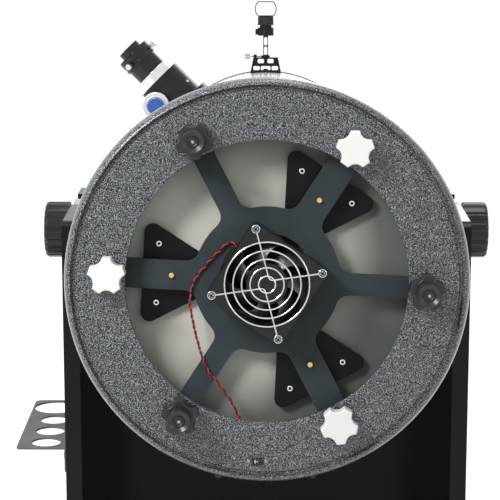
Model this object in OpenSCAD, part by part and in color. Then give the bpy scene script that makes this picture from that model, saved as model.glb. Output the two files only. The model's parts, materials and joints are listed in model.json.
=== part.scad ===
// Twelve-inch reflecting telescope on a turning wooden rocker.
// Millimetres, +Z up. The tube points along +Y, the altitude axis runs along X, and the
// origin is on the floor under the middle of the turning base.

/* [Tube] */
// Outside diameter of the rolled steel tube
tube_d = 355; // [345:1:385]
// Wall of the tube
tube_wall = 1; // [0.8:0.1:2]
// Tube behind the altitude axis
tube_back = 508; // [480:1:560]
// Tube ahead of the focuser
tube_overhang = 139; // [125:1:180]
// Angle below level at which the tube lies on its stop
tube_dip = 5.5; // [0:0.5:8]

/* [End rings] */
// How far the bead of a ring stands out past the tube
bead_proud = 6.5; // [5:0.5:9]
// Skirt of a ring over the tube
skirt_len = 24; // [18:1:40]
// Width of the rear ring's face inside the tube
face_width = 49.5; // [46:0.5:54]
// Thickness of that face
face_t = 6; // [4:0.5:8]
// Back of that face behind the end of the tube
face_back = 14; // [12:0.5:20]
// Rim of the rear ring behind its face
rim_back = 3; // [2:0.5:5]

/* [Optics] */
// Diameter of the primary mirror
mirror_d = 304.8; // [290:0.1:312]
// Thickness of the primary mirror at its edge
mirror_t = 36; // [25:1:45]
// Focal length of the primary mirror
focal_len = 1500; // [1400:10:1650]
// Short axis of the secondary mirror
secondary_d = 70; // [60:1:80]
// Thickness of the secondary mirror
secondary_t = 10; // [8:0.5:14]

/* [Mirror cell] */
// Thickness of the cast cell frame
cell_t = 6; // [5:0.5:8]
// Length of the collimation springs
spring_len = 12; // [10:0.5:14]
// Turns of each collimation spring
spring_turns = 4; // [3:1:5]
// Wire of the collimation springs
spring_wire = 1.6; // [1.2:0.1:1.8]
// Turn of the whole cell about the tube's axis
cell_turn = -3; // [-5:1:5]
// Width of the arms that carry the triangles
wide_arm = 27; // [24:1:30]
// Width of the arms between them
narrow_arm = 20; // [16:1:24]
// Side of a support triangle
triangle_side = 102; // [96:1:106]
// Thickness of a support triangle
triangle_t = 3; // [2:0.5:4]
// Thickness of the mirror's pads
pad_t = 3; // [2:0.5:5]
// Gap between the cell frame and the triangles
pivot_gap = 4; // [3:0.5:6]

/* [Rear knobs] */
// Knob centres outside the ring's opening
knob_inset = 15.5; // [14:0.5:18]
// Outside radius of a star knob
star_r = 17; // [14:0.5:18]
// Diameter of the knobs' studs
stud_d = 6; // [5:0.5:8]
// Length of a collimation knob's boss behind its star
boss_len = 20; // [12:1:24]

/* [Cooling fan] */
// Side of the square fan
fan_w = 80; // [70:1:92]
// Depth of the fan
fan_t = 32; // [15:1:38]
// Turn of the fan about its axis
fan_turn = -33.6; // [-45:0.1:45]
// Wire of the fan's guard
guard_wire = 1.6; // [1.2:0.1:2]
// Diameter of the twisted fan lead
lead_d = 2.8; // [2.4:0.1:3]

/* [Focuser] */
// Angle of the focuser round the tube, seen from behind
focuser_angle = 135; // [125:1:145]
// Diameter of the focuser's body
focuser_d = 72; // [70:1:78]
// Height of that body above the tube
focuser_h = 57.5; // [52:0.5:66]
// Diameter of the drawtube
drawtube_d = 54; // [53.5:0.5:56]
// Drawtube that shows above the body
draw_show = 15; // [12:0.5:20]
// Two-inch eyepiece fitting
two_inch = 50.8; // [50.4:0.1:51.2]
// Small eyepiece fitting
small_bore = 31.8; // [31.2:0.1:32.4]
// Diameter of the coarse focusing knobs
coarse_d = 42; // [36:1:46]
// Diameter of the fine focusing knob
fine_d = 27; // [22:1:30]

/* [Finder] */
// Finder's middle behind the focuser's axis
finder_back = 55; // [45:1:120]
// Height of the finder's shoe
shoe_h = 22.5; // [20:0.5:26]
// Width of the finder's shoe at the tube
shoe_w = 46; // [42:1:50]
// Height of the finder's post
post_h = 33; // [28:1:40]
// How far the finder sits to the left of the tube's top line
finder_left = 0; // [0:0.5:8]

/* [Rocker] */
// Thickness of every board
board_t = 18; // [15:1:22]
// Room between the tube and each side board
side_room = 28.5; // [24:0.5:36]
// Side boards behind the altitude axis
board_rear = 155; // [145:1:175]
// Tops of the side boards ahead of the altitude axis
top_fore = 98; // [90:1:120]
// Room between the front board and the rear ring of the upright tube
front_room = 11; // [8:0.5:30]
// Side boards above the altitude axis
board_rise = 36; // [36:1:48]
// Radius of the side boards' top corners
corner_r = 18; // [10:1:30]
// Outside diameter of the altitude bearing rings
bearing_d = 71.4; // [66:0.2:71.4]
// Diameter of the altitude spindles
spindle_d = 50; // [44:1:54]
// Diameter of the tension knobs
tension_d = 65; // [60:1:72]
// Length of the tension knobs
tension_len = 34; // [28:1:40]
// Height of the rubber stop under the tube
stop_h = 8; // [6:0.5:14]
// Room between the tube's rear end and the base when the tube stands upright
swing_gap = 16.5; // [12:0.5:40]

/* [Base] */
// Height of the rubber feet
foot_h = 25; // [20:1:35]
// Diameter of the rubber feet
foot_d = 44; // [36:1:50]
// Margin of the round boards past the side boards' corners
base_margin = 7.5; // [5:0.5:20]
// Middle radius of the roller bearing
race_r = 135; // [125:1:145]
// Diameter of the bearing's rollers
roller_d = 5.4; // [5:0.1:7]
// Diameter of the centre bolt
bolt_d = 12; // [10:1:14]

/* [Eyepiece tray] */
// Depth of the tray outwards from its board
tray_w = 56; // [56:1:70]
// Length of the tray
tray_len = 196; // [190:1:205]
// Tray below the altitude axis
tray_drop = 223; // [200:1:260]
// Thickness of the tray's sheet
tray_t = 2; // [1.5:0.5:3]

/* [Hidden] */
$fn = 64;

// Clearances: loose is between pieces that move past each other, snug is in a running
// fit, and seat is between a piece and the curved seat that it rests on.
loose = 0.3;
snug = 0.05;
seat = 0.1;
tiny = 0.01;

tube_r = tube_d / 2;
bead_r = tube_r + bead_proud;
ring_seat_r = tube_r + seat;
skirt_r = tube_r + 2.5;
front_r = tube_r + 1.2;
shoulder_r = tube_r - tube_wall - 1;

// Places along the tube, from the rear ring's face forwards
ring_face_y = -tube_back - face_back;
cell_rear_y = ring_face_y + face_t + spring_len;
cell_front_y = cell_rear_y + cell_t;
triangle_rear_y = cell_front_y + pivot_gap;
pad_rear_y = triangle_rear_y + triangle_t;
mirror_rear_y = pad_rear_y + pad_t;
mirror_front_y = mirror_rear_y + mirror_t;
mirror_r = mirror_d / 2;

// The focuser stack, as heights above the tube's axis
body_top = tube_r + focuser_h;
draw_top = body_top + draw_show;
collar_bottom = draw_top + 22;
collar_h = 19;
collar_top = collar_bottom + collar_h;
adapter_h = 12;
collar_screw_up = 8;
adapter_top = collar_top + adapter_h;
focus_below_top = 10;
focus_y = mirror_front_y + focal_len - (adapter_top - focus_below_top);
tube_fore = focus_y + tube_overhang;

// Rear ring's opening and the circle of the six knobs
opening_r = tube_r - face_width;
knob_circle = opening_r + knob_inset;
stud_r = stud_d / 2;
lock_angles = [for (k = [0:2]) 60 + 120 * k + cell_turn];
push_angles = [for (k = [0:2]) 120 + 120 * k + cell_turn];
star_h = 16;
washer_h = 4;
push_proud = washer_h + star_h + boss_len;

// Base, from the floor up
ground_top = foot_h + board_t;
race_t = 1;
base_bottom = ground_top + 2 * race_t + roller_d + 2 * loose;
base_top = base_bottom + board_t;
swing_r = norm([tube_back + face_back + push_proud, knob_circle + star_r]);
axis_h = base_top + swing_r + swing_gap;
inner_x = tube_r + side_room;
outer_x = inner_x + board_t;
front_y = bead_r + front_room;
board_fore = front_y + board_t;
base_r = norm([outer_x, max(board_rear, board_fore)]) + base_margin;
board_top = axis_h + board_rise;
stop_y = front_y + board_t / 2;
tube_under = axis_h - tube_r / cos(tube_dip) - stop_y * tan(tube_dip);
front_top = tube_under - stop_h;

bearing_r = bearing_d / 2;
spindle_r = spindle_d / 2;
knob_stud_r = 6;

fan_hole = fan_w * 0.894;
fan_bore_r = fan_w / 2 - 1.5;
fan_rear_y = cell_rear_y - fan_t;
hub_r = fan_hole * sqrt(0.5) + 16.4;
motor_r = 19;
guard_y = fan_rear_y - guard_wire / 2;
guard_rings = 5;

// ---------- shapes used by several pieces ----------

// Frame of the tube: Y runs along its axis, and the altitude axis is X
module tube_frame() translate([0, 0, axis_h]) rotate([-tube_dip, 0, 0]) children();

// Turns a shape round the tube's axis, anticlockwise as seen from behind
module around(angle) rotate([0, -angle, 0]) children();

// Puts a shape on a circle round the tube's axis without turning it
module on_circle(angle, r) translate([r * cos(angle), 0, r * sin(angle)]) children();

module rod_x(r, from, to) translate([from, 0, 0]) rotate([0, 90, 0]) cylinder(r = r, h = to - from);

module rod_y(r, from, to) translate([0, from, 0]) rotate([-90, 0, 0]) cylinder(r = r, h = to - from);

module rod_z(r, from, to) translate([0, 0, from]) cylinder(r = r, h = to - from);

// A ring about Y
module ring_y(outer, inner, from, to) difference() {
    rod_y(outer, from, to);
    rod_y(inner, from - 1, to + 1);
}

// A box given by its two corners
module block(low, high) translate(low) cube(high - low);

// A flat outline in the X and Z directions, made solid from one Y to another
module slab_y(from, to) translate([0, to, 0]) rotate([90, 0, 0]) linear_extrude(to - from) children();

// A flat outline in the Y and Z directions, made solid from one X to another
module slab_x(from, to) translate([from, 0, 0]) rotate([90, 0, 90]) linear_extrude(to - from) children();

// Points a, b moved out by r to the right of the way from a to b
function edge_out(a, b, r) = let (d = (b - a) / norm(b - a)) [a + r * [d.y, -d.x], b + r * [d.y, -d.x]];

// A convex outline with round corners, from its corner centres in anticlockwise order
module round_outline(centres, r) {
    n = len(centres);
    polygon([for (i = [0:n - 1]) each edge_out(centres[i], centres[(i + 1) % n], r)]);
    for (c = centres) translate(c) circle(r);
}

module round_rect(w, h, r) {
    x = w / 2 - r;
    y = h / 2 - r;
    round_outline([[-x, -y], [x, -y], [x, y], [-x, y]], r);
}

// A star with five round lobes, one of them at the given angle
module star(r, lobe) difference() {
    circle(r);
    for (k = [0:4]) rotate(lobe + 36 + 72 * k) translate([r * 1.13, 0]) circle(r * 0.39);
}

// A tube of triangles swept along a list of points
module swept_tube(points, r, sides) {
    n = len(points);
    way = [for (i = [0:n - 1]) let (d = points[min(i + 1, n - 1)] - points[max(i - 1, 0)]) d / norm(d)];
    rings = [for (i = [0:n - 1])
        let (side = cross(way[i], [0, 1, 0]), u = side / norm(side), v = cross(u, way[i]))
        [for (k = [0:sides - 1]) let (a = 360 * k / sides) points[i] + r * (u * cos(a) + v * sin(a))]];
    corners = [for (ring = rings) each ring];
    walls = [for (i = [0:n - 2], k = [0:sides - 1])
        let (a = i * sides + k, b = i * sides + (k + 1) % sides)
        each [[a, b, b + sides], [a, b + sides, a + sides]]];
    last = (n - 1) * sides;
    caps = [for (k = [1:sides - 2]) each [[0, k + 1, k], [last, last + k, last + k + 1]]];
    polyhedron(corners, [for (f = concat(walls, caps)) [f[2], f[1], f[0]]], convexity = 6);
}

// ---------- base ----------

feet_angles = [90, 210, 330];
foot_circle = base_r - foot_d / 2 - 14;
foot_recess = 6;

module ground_board() color("#2b2b2d") difference() {
    rod_z(base_r, foot_h, ground_top);
    rod_z(bolt_d / 2 + snug, foot_h - 1, ground_top + 1);
    for (a = feet_angles) rotate(a) translate([foot_circle, 0, 0]) rod_z(2.5, foot_h - 1, foot_h + 13);
}

module feet() for (a = feet_angles) rotate(a) translate([foot_circle, 0, 0]) {
    color("#1c1c1e") difference() {
        rod_z(foot_d / 2, 0, foot_h);
        rod_z(6.5, -1, foot_recess);
        rod_z(2.5, 0, foot_h + 1);
    }
    color("silver") {
        rod_z(5.5, foot_recess - 2.5, foot_recess);
        rod_z(2.4, foot_recess - tiny, foot_h + 12);
    }
}

module pivot_bolt() color("silver") {
    rod_z(bolt_d / 2 + 5, foot_h - 6, foot_h);
    rod_z(bolt_d / 2, foot_h - tiny, base_top + 14);
    difference() {
        rod_z(bolt_d / 2 + 9, base_top + loose, base_top + 2);
        rod_z(bolt_d / 2 + snug, base_top, base_top + 3);
    }
    difference() {
        translate([0, 0, base_top + 2]) cylinder(r = bolt_d / 2 + 5, h = 10, $fn = 6);
        rod_z(bolt_d / 2 + snug, base_top, base_top + 13);
    }
}

race_half = 14;

module race(bottom) color("silver") translate([0, 0, bottom]) difference() {
    cylinder(r = race_r + race_half, h = race_t);
    translate([0, 0, -1]) cylinder(r = race_r - race_half, h = race_t + 2);
}

module lower_race() race(ground_top);

module upper_race() race(base_bottom - race_t);

roller_count = 24;
roller_len = 14;
roller_z = ground_top + race_t + loose + roller_d / 2;
cage_t = roller_d * 0.6;

module roller_cage() color("#d8d4c8") difference() {
    rod_z(race_r + race_half - 2, roller_z - cage_t / 2, roller_z + cage_t / 2);
    rod_z(race_r - race_half + 2, roller_z - cage_t, roller_z + cage_t);
    for (k = [1:roller_count]) rotate(360 * k / roller_count) translate([race_r, 0, roller_z])
        cube([roller_len + 2 * loose, roller_d + 2 * loose, cage_t * 2], center = true);
}

module rollers() color("silver") for (k = [1:roller_count]) rotate(360 * k / roller_count)
    translate([0, 0, roller_z]) rod_x(roller_d / 2, race_r - roller_len / 2, race_r + roller_len / 2);

// ---------- rocker ----------

// Board screws: each is a countersunk head at the place and a shank that runs inwards
screw_head_r = 5;
screw_head_h = 3;
screw_shank_r = 3;
screw_len = 50;

module board_screw_places() {
    for (x = [-1, 1] * (inner_x + board_t / 2), y = [45 - board_rear, 0, board_fore - 45])
        translate([x, y, base_bottom]) children();
    for (x = [-1, 1] * inner_x * 0.5) translate([x, front_y + board_t / 2, base_bottom]) children();
    for (s = [-1, 1], z = [0.12, 0.5, 0.88] * (front_top - base_top))
        translate([s * outer_x, front_y + board_t / 2, base_top + z]) rotate([0, -90 * s, 0]) children();
}

module board_screw(grow) {
    translate([0, 0, -grow]) cylinder(r = screw_head_r + grow, h = screw_head_h + 2 * grow);
    cylinder(r = screw_shank_r + grow, h = screw_len + grow);
}

module board_screw_holes() board_screw_places() board_screw(seat);

module board_screws() color("#8a8c8e") board_screw_places() board_screw(0);

module base_board() color("#2b2b2d") difference() {
    rod_z(base_r, base_bottom, base_top);
    rod_z(bolt_d / 2 + snug, base_bottom - 1, base_top + 1);
    board_screw_holes();
}

notch_r = bearing_r + loose;
// Where the side boards' front edges turn back towards the narrow top
knee_rise = 40;
knee_z = front_top + knee_rise;

module side_board(x) color("#232325") difference() {
    slab_x(x, x + board_t) difference() {
        union() {
            round_outline([[corner_r - board_rear, base_top + corner_r],
                [board_fore - corner_r, base_top + corner_r], [board_fore - corner_r, knee_z],
                [top_fore - corner_r, board_top - corner_r],
                [corner_r - board_rear, board_top - corner_r]], corner_r);
            translate([-board_rear, base_top]) square([board_rear + board_fore, 2 * corner_r]);
        }
        translate([0, axis_h]) circle(notch_r);
        translate([-notch_r, axis_h]) square([2 * notch_r, board_rise + 1]);
    }
    board_screw_holes();
    wood_screw_holes();
}

module left_board() side_board(-outer_x);

module right_board() side_board(inner_x);

module front_board() color("#232325") difference() {
    block([-inner_x, front_y, base_top], [inner_x, board_fore, front_top]);
    board_screw_holes();
    wood_screw_holes();
}

// Carrying handle: a bar on two legs, screwed on from behind the front board
handle_len = 124;
handle_half = handle_len / 2;
handle_reach = 32;
handle_bar_r = 9;
handle_z = base_top + 0.6 * (front_top - base_top);
handle_bar_y = board_fore + handle_reach;

module handle() color("#1d1d1f") translate([0, 0, handle_z]) {
    translate([0, handle_bar_y, 0]) rod_x(handle_bar_r, -handle_half, handle_half);
    for (s = [-1, 1]) translate([s * handle_half, 0, 0]) {
        translate([0, handle_bar_y, 0]) sphere(handle_bar_r);
        difference() {
            union() {
                rod_y(handle_bar_r, board_fore, handle_bar_y);
                rod_y(handle_bar_r + 5, board_fore, board_fore + 5);
            }
            rod_y(wood_shank_r + seat, board_fore - 1, board_fore + wood_screw_len - board_t + 1);
        }
    }
}

wood_shank_r = 2;
wood_head_r = 4.5;
wood_head_h = 2.5;
wood_screw_len = 32;

module handle_screw_places() for (s = [-1, 1]) translate([s * handle_half, front_y, handle_z])
    rotate([-90, 0, 0]) children();

tray_z = axis_h - tray_drop;
tray_rear_y = 5 - board_rear;
tray_flange_h = 26;

module tray_screw_places() for (share = [0.12, 0.66, 0.97])
    translate([-outer_x - tray_t, tray_rear_y + tray_len * share, tray_z - tray_flange_h / 2])
        rotate([0, 90, 0]) children();

module wood_screw(shank) {
    translate([0, 0, -wood_head_h]) cylinder(r = wood_head_r, h = wood_head_h);
    translate([0, 0, -tiny]) cylinder(r = wood_shank_r, h = shank);
}

module wood_screws() color("#3a3a3c") {
    handle_screw_places() wood_screw(wood_screw_len);
    tray_screw_places() wood_screw(board_t - 2);
}

module wood_screw_holes() {
    handle_screw_places() translate([0, 0, -1]) cylinder(r = wood_shank_r + seat, h = wood_screw_len + 2);
    tray_screw_places() translate([0, 0, -1]) cylinder(r = wood_shank_r + seat, h = board_t);
}

// Rubber stop on the front board, hollowed to the tube that lies on it
module tube_stop() color("#18181a") difference() {
    block([-45, front_y + 1, front_top], [45, board_fore - 1, front_top + stop_h + 12]);
    tube_frame() rod_y(tube_r + loose, -tube_back, tube_fore, $fn = 256);
}

module bearing_ring(from) translate([0, 0, axis_h]) difference() {
    rod_x(bearing_r, from, from + board_t);
    rod_x(spindle_r + snug, from - 1, from + board_t + 1);
}

module bearing_rings() color("#d9dcdf") for (x = [-outer_x, inner_x]) bearing_ring(x);

tray_small_y = [23, 67, 112];
tray_small_x = -outer_x - tray_t - 22.5;
tray_large_y = 165;
tray_large_r = two_inch / 2 + 0.2;
tray_large_x = -outer_x - tray_t - tray_large_r - 0.6;

module eyepiece_tray() color("#606264") difference() {
    union() {
        translate([0, tray_rear_y, tray_z]) linear_extrude(tray_t) difference() {
            union() {
                translate([-outer_x - tray_w + 8, 0]) square([tray_w - 8, tray_len]);
                translate([-outer_x - tray_w, 5]) square([tray_w, tray_len - 13]);
                translate([-outer_x - tray_w + 5, 5]) circle(5);
                translate([-outer_x - tray_w + 8, tray_len - 8]) circle(8);
            }
            translate([-outer_x - tray_w - 1, -1]) square([4, 2]);
            for (y = tray_small_y) translate([tray_small_x, y]) circle(small_bore / 2 + 0.5);
            translate([tray_large_x, tray_large_y]) circle(tray_large_r);
        }
        translate([-outer_x - tray_t, tray_rear_y, tray_z - tray_flange_h])
            cube([tray_t, tray_len, tray_flange_h + tray_t]);
    }
    wood_screw_holes();
}

// ---------- tube and end rings ----------

// Small screws that stand radially on the tube: [angle, place along it, seat above its surface]
rail_half_y = 70;
ring_screw_y = skirt_len - 8;
tube_screw_places = concat(
    [for (k = [0:5]) [30 + 60 * k, ring_screw_y - tube_back, skirt_r - tube_r]],
    [for (k = [0:5]) [30 + 60 * k, tube_fore - ring_screw_y, front_r - tube_r]],
    [for (side = [0, 180], a = [-6, 6], y = [-1, 1] * (rail_half_y - 10)) [side + a, y, 4]]);
tube_shank_r = 2;

module at_tube_screws() tube_frame() for (p = tube_screw_places)
    around(p[0]) translate([tube_r + p[2], p[1], 0]) children();

// Screws along the focuser's axis, in its base
focuser_r = focuser_d / 2;
flange_r = focuser_r + 10;
flange_top = tube_r + 5.5;

module focuser_frame() tube_frame() around(focuser_angle) translate([0, focus_y, 0]) children();

module at_focuser_screws() focuser_frame() for (a = [45:90:315]) rotate([a, 0, 0])
    translate([flange_top, focuser_r + 5, 0]) children();

module tube_screw() {
    rod_x(3.2, seat, 2.2);
    rod_x(tube_shank_r, -flange_r / 2 + 11, seat + tiny);
}

module tube_screw_holes() {
    at_tube_screws() rod_x(tube_shank_r + seat, -16, 2);
    at_focuser_screws() rod_x(tube_shank_r + seat, -18, 2);
    at_shoe_screws() rod_z(tube_shank_r + seat, -12, shoe_floor + 1);
}

module tube_screws() color("#4a4b4d") {
    at_tube_screws() tube_screw();
    at_focuser_screws() tube_screw();
    at_shoe_screws() {
        rod_z(3.2, shoe_floor, shoe_floor + 2.2);
        rod_z(tube_shank_r, -6, shoe_floor + tiny);
    }
}

module tube() color("whitesmoke") difference() {
    tube_frame() ring_y(tube_r, tube_r - tube_wall, -tube_back, tube_fore);
    focuser_frame() rod_x(drawtube_d / 2 + 3, tube_r - 20, tube_r + 10);
    tube_screw_holes();
    tube_frame() at_spider_nuts() rod_x(tube_shank_r + seat, tube_r - 10, tube_r + 1);
}

// Outline of a ring from the tube's end outwards: radius, and distance past that end
function bead_outline(rim) = [for (a = [0:10:90])
    [bead_r - bead_proud * (1 - sin(a)), 2 + (rim - 2) * cos(a)]];
skirt_outline = [[tube_r + 3.5, -6], [skirt_r, -11], [skirt_r, -skirt_len], [ring_seat_r, -skirt_len],
    [ring_seat_r, 0]];

module rear_ring() color("#5f6466") difference() {
    tube_frame() translate([0, -tube_back, 0]) rotate([90, 0, 0]) rotate_extrude($fn = 128) polygon(concat(
        [[opening_r, face_back - face_t], [opening_r, face_back - 1.2], [opening_r + 1.2, face_back],
            [tube_r - 4, face_back], [tube_r - 4, face_back - 1.5], [tube_r - 2, face_back - 1.5]],
        bead_outline(face_back + rim_back), skirt_outline,
        [[shoulder_r, 0], [shoulder_r, face_back - face_t]]));
    for (a = concat(lock_angles, push_angles)) tube_frame() on_circle(a, knob_circle)
        rod_y(stud_r + loose, ring_face_y - 1, ring_face_y + face_t + 1);
    jack_frame() {
        corner = [jack_w / 2 + seat, 1, jack_h / 2 + seat];
        block(-corner, corner + [0, face_t, 0]);
        at_jack_screws() rod_y(jack_screw_r + seat, -1, face_t + 1);
    }
    tube_screw_holes();
}

module front_ring() color("#5f6466") difference() {
    tube_frame() translate([0, tube_fore, 0]) rotate([-90, 0, 0]) rotate_extrude($fn = 128)
        polygon([[tube_r - 6, 0], [tube_r - 6, 9.5], [tube_r - 4.8, 11], [tube_r + 0.2, 11], [front_r, 9.8],
            [front_r, -skirt_len], [ring_seat_r, -skirt_len], [ring_seat_r, 0]]);
    tube_screw_holes();
}

// ---------- altitude brackets and tension knobs ----------

spindle_hole_r = knob_stud_r + snug;
tension_edge = 2.5;

module side_bracket() {
    difference() {
        union() {
            intersection() {
                rod_y(tube_r + 4, -rail_half_y, rail_half_y);
                block([tube_r / 2, -rail_half_y, -28], [tube_r + 5, rail_half_y, 28]);
            }
            block([tube_r - 5, -38, -24], [inner_x - 6, 38, 24]);
            rod_x(bearing_r - 1, inner_x - 6.5, inner_x - 0.6);
            rod_x(spindle_r, inner_x - 7, outer_x);
        }
        rod_y(ring_seat_r, -rail_half_y - 1, rail_half_y + 1);
        rod_x(spindle_hole_r, inner_x - 16, outer_x + 1);
        for (a = [-6, 6], y = [-1, 1] * (rail_half_y - 10)) around(a) translate([0, y, 0])
            rod_x(tube_shank_r + seat, tube_r - 5, tube_r + 6);
    }
}

module side_brackets() color("#c9cccf") tube_frame() for (s = [0, 1]) mirror([s, 0, 0]) side_bracket();

module tension_knob(side) tube_frame() mirror([side, 0, 0]) {
    color("#1b1b1d") difference() {
        union() {
            rod_x(tension_d / 2 - 4, outer_x + 0.5, outer_x + 6);
            rod_x(tension_d / 2, outer_x + 5, outer_x + tension_len - tension_edge);
            translate([outer_x + tension_len - tension_edge, 0, 0]) rotate([0, 90, 0])
                cylinder(r1 = tension_d / 2, r2 = tension_d / 2 - tension_edge, h = tension_edge);
        }
        for (k = [0:17]) rotate([20 * k, 0, 0]) translate([0, tension_d / 2 + 1.2, 0])
            rod_x(2.4, outer_x + 4, outer_x + tension_len + 1);
    }
    color("silver") rod_x(knob_stud_r, inner_x - 15, outer_x + 0.6);
}

module left_tension_knob() tension_knob(1);

module right_tension_knob() tension_knob(0);

// ---------- mirror cell ----------

arm_reach = max(knob_circle + stud_r + 13.5, mirror_r + 7.6);
arm_fillet = 12;
triangle_corner = 8;
triangle_out = hub_r + 47;
triangle_half = triangle_side / 2 - triangle_corner * sqrt(3);
pivot_circle = hub_r + 20;
pivot_r = 2.3;
clip_t = 4;
clip_in = mirror_r + 1.5;

// Corners of a support triangle's outline, its middle arm running along X
triangle_base = triangle_out - triangle_corner;
triangle_centres = [[triangle_base, -triangle_half], [triangle_base, triangle_half],
    [triangle_base - triangle_half * sqrt(3), 0]];
// The pads lie inside the corners, towards the triangle's middle
triangle_middle = [triangle_base - triangle_half / sqrt(3), 0];
pad_places = [for (c = triangle_centres) c + 0.27 * (triangle_middle - c)];

module arm(angle, w) rotate(angle) {
    translate([0, -w / 2]) square([arm_reach - w / 4, w]);
    translate([arm_reach - w / 2, 0]) intersection() {
        circle(w / 2);
        translate([0, -w / 2]) square(w);
    }
    centre = [sqrt(pow(hub_r + arm_fillet, 2) - pow(w / 2 + arm_fillet, 2)), w / 2 + arm_fillet];
    for (s = [0, 1]) mirror([0, s]) difference() {
        polygon([[hub_r * 0.8, 0], [centre.x, w / 2 - 1], centre, centre * hub_r / (hub_r + arm_fillet)]);
        translate(centre) circle(arm_fillet);
    }
}

module cell_frame() color("#40464a") tube_frame() difference() {
    slab_y(cell_rear_y, cell_front_y) {
        circle(hub_r);
        for (a = lock_angles) arm(a, wide_arm);
        for (a = push_angles) arm(a, narrow_arm);
    }
    rod_y(fan_bore_r + 4.5, cell_rear_y - 1, cell_front_y + 1);
    for (a = push_angles) on_circle(a, knob_circle) rod_y(stud_r + snug, cell_rear_y - 1, cell_front_y + 1);
    for (a = lock_angles) on_circle(a, pivot_circle) rod_y(pivot_r + seat, cell_rear_y - 1, cell_front_y + 1);
    at_fan_screws() rod_y(fan_screw_r + seat, cell_rear_y - 1, cell_front_y + 1);
}

module support_triangles() color("#202224") tube_frame() for (a = lock_angles) around(a) difference() {
    slab_y(triangle_rear_y, pad_rear_y) round_outline(triangle_centres, triangle_corner);
    translate([pivot_circle, 0, 0]) rod_y(pivot_r + seat, triangle_rear_y - 1, pad_rear_y + 1);
    for (p = pad_places) translate([p.x, 0, p.y]) rod_y(2.1, triangle_rear_y - 1, pad_rear_y + 1);
}

// Pivot screws: the end shows behind the arm, and the triangle rocks on a collar
module pivot_screws() color("#b08d4a") tube_frame() for (a = lock_angles) on_circle(a, pivot_circle) {
    rod_y(pivot_r, cell_rear_y - 2.4, mirror_rear_y - 1);
    rod_y(pivot_r + 1.7, cell_front_y, triangle_rear_y);
}

module mirror_pads() color("#d9d4c6") tube_frame() for (a = lock_angles) around(a)
    for (p = pad_places) translate([p.x, 0, p.y]) {
        rod_y(6.5, pad_rear_y, mirror_rear_y);
        rod_y(2, triangle_rear_y - tiny, pad_rear_y + tiny);
        difference() {
            rod_y(2.6, triangle_rear_y - 1.2, triangle_rear_y + tiny);
            rod_y(1.2, triangle_rear_y - 2, triangle_rear_y - 0.4);
        }
    }

// The hollow of the mirror's face is an arc whose radius is twice the focal length
mirror_face = [for (k = [0:12]) let (r = (mirror_r - 1) * (1 - k / 12))
    [r, mirror_front_y - (pow(mirror_r - 1, 2) - r * r) / (4 * focal_len)]];

mirror_back = [[0, mirror_rear_y], [mirror_r, mirror_rear_y], [mirror_r, mirror_front_y - 1]];

module primary_mirror() color("#c8c8c0") tube_frame() rotate([-90, 0, 0])
    rotate_extrude($fn = 128) polygon(concat(mirror_back, mirror_face));

module mirror_clips() color("#2c2e30") tube_frame() for (a = lock_angles) around(a) {
    block([clip_in, cell_front_y, -9], [clip_in + clip_t, mirror_front_y + 3, 9]);
    block([clip_in - 7, mirror_front_y + 0.4, -9], [clip_in + tiny, mirror_front_y + 3, 9]);
}

// Helical springs round the collimation studs
spring_r = 6.5;
spring_rise = spring_len - spring_wire - 2 * seat;
spring_pitch = spring_rise / spring_turns;

spring_start = cell_rear_y - seat - spring_wire / 2;
spring_line = [for (k = [0:8 * spring_turns])
    [spring_r * cos(45 * k), spring_start - spring_pitch * k / 8, spring_r * sin(45 * k)]];

// Least gap from one turn to the next, measured on points of the spring's middle line
spring_gap = min([for (i = [0:len(spring_line) - 1], j = [i + 5:1:len(spring_line) - 1])
    norm(spring_line[i] - spring_line[j])]) - spring_wire;
echo(spring_gap = spring_gap);

module collimation_springs() color("silver") tube_frame() for (a = push_angles)
    on_circle(a, knob_circle) swept_tube(spring_line, spring_wire / 2, 6);

// ---------- rear knobs ----------

module rear_knob(angle, lobe, to_y, boss) tube_frame() on_circle(angle, knob_circle) {
    top = ring_face_y - loose;
    rod_y(9, top - washer_h, top);
    slab_y(top - washer_h - star_h, top - washer_h + tiny) star(star_r, lobe);
    if (boss) difference() {
        rod_y(star_r * 0.6, ring_face_y - push_proud, top - washer_h - star_h + tiny);
        rod_y(star_r * 0.47, ring_face_y - push_proud - 1, ring_face_y - push_proud + 2);
    }
    rod_y(stud_r, top - tiny, to_y);
}

// Push knobs turn in the cell's threads, and lock knobs press on the cell's back
module push_knob(k, lobe) color("#24262b") rear_knob(push_angles[k], lobe, cell_front_y + 2, true);

module lock_knob(k, lobe) color("#f2f2f0") rear_knob(lock_angles[k], lobe, cell_rear_y - loose, false);

module collimation_knob_1() push_knob(0, -12);

module collimation_knob_2() push_knob(1, 20);

module collimation_knob_3() push_knob(2, 90);

module lock_knob_1() lock_knob(0, 90);

module lock_knob_2() lock_knob(1, 90);

module lock_knob_3() lock_knob(2, 60);

// ---------- fan, its guard, its lead and the power socket ----------

fan_screw_r = 2;
fan_corner_r = 4;

module fan_frame_turn() tube_frame() rotate([0, -fan_turn, 0]) children();

module at_fan_screws() rotate([0, -fan_turn, 0]) for (x = [-1, 1] * fan_hole / 2, z = [-1, 1] * fan_hole / 2)
    translate([x, 0, z]) children();

// Frame of the fan, with the motor's seat on three struts at its front
motor_seat_t = 4;

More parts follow.
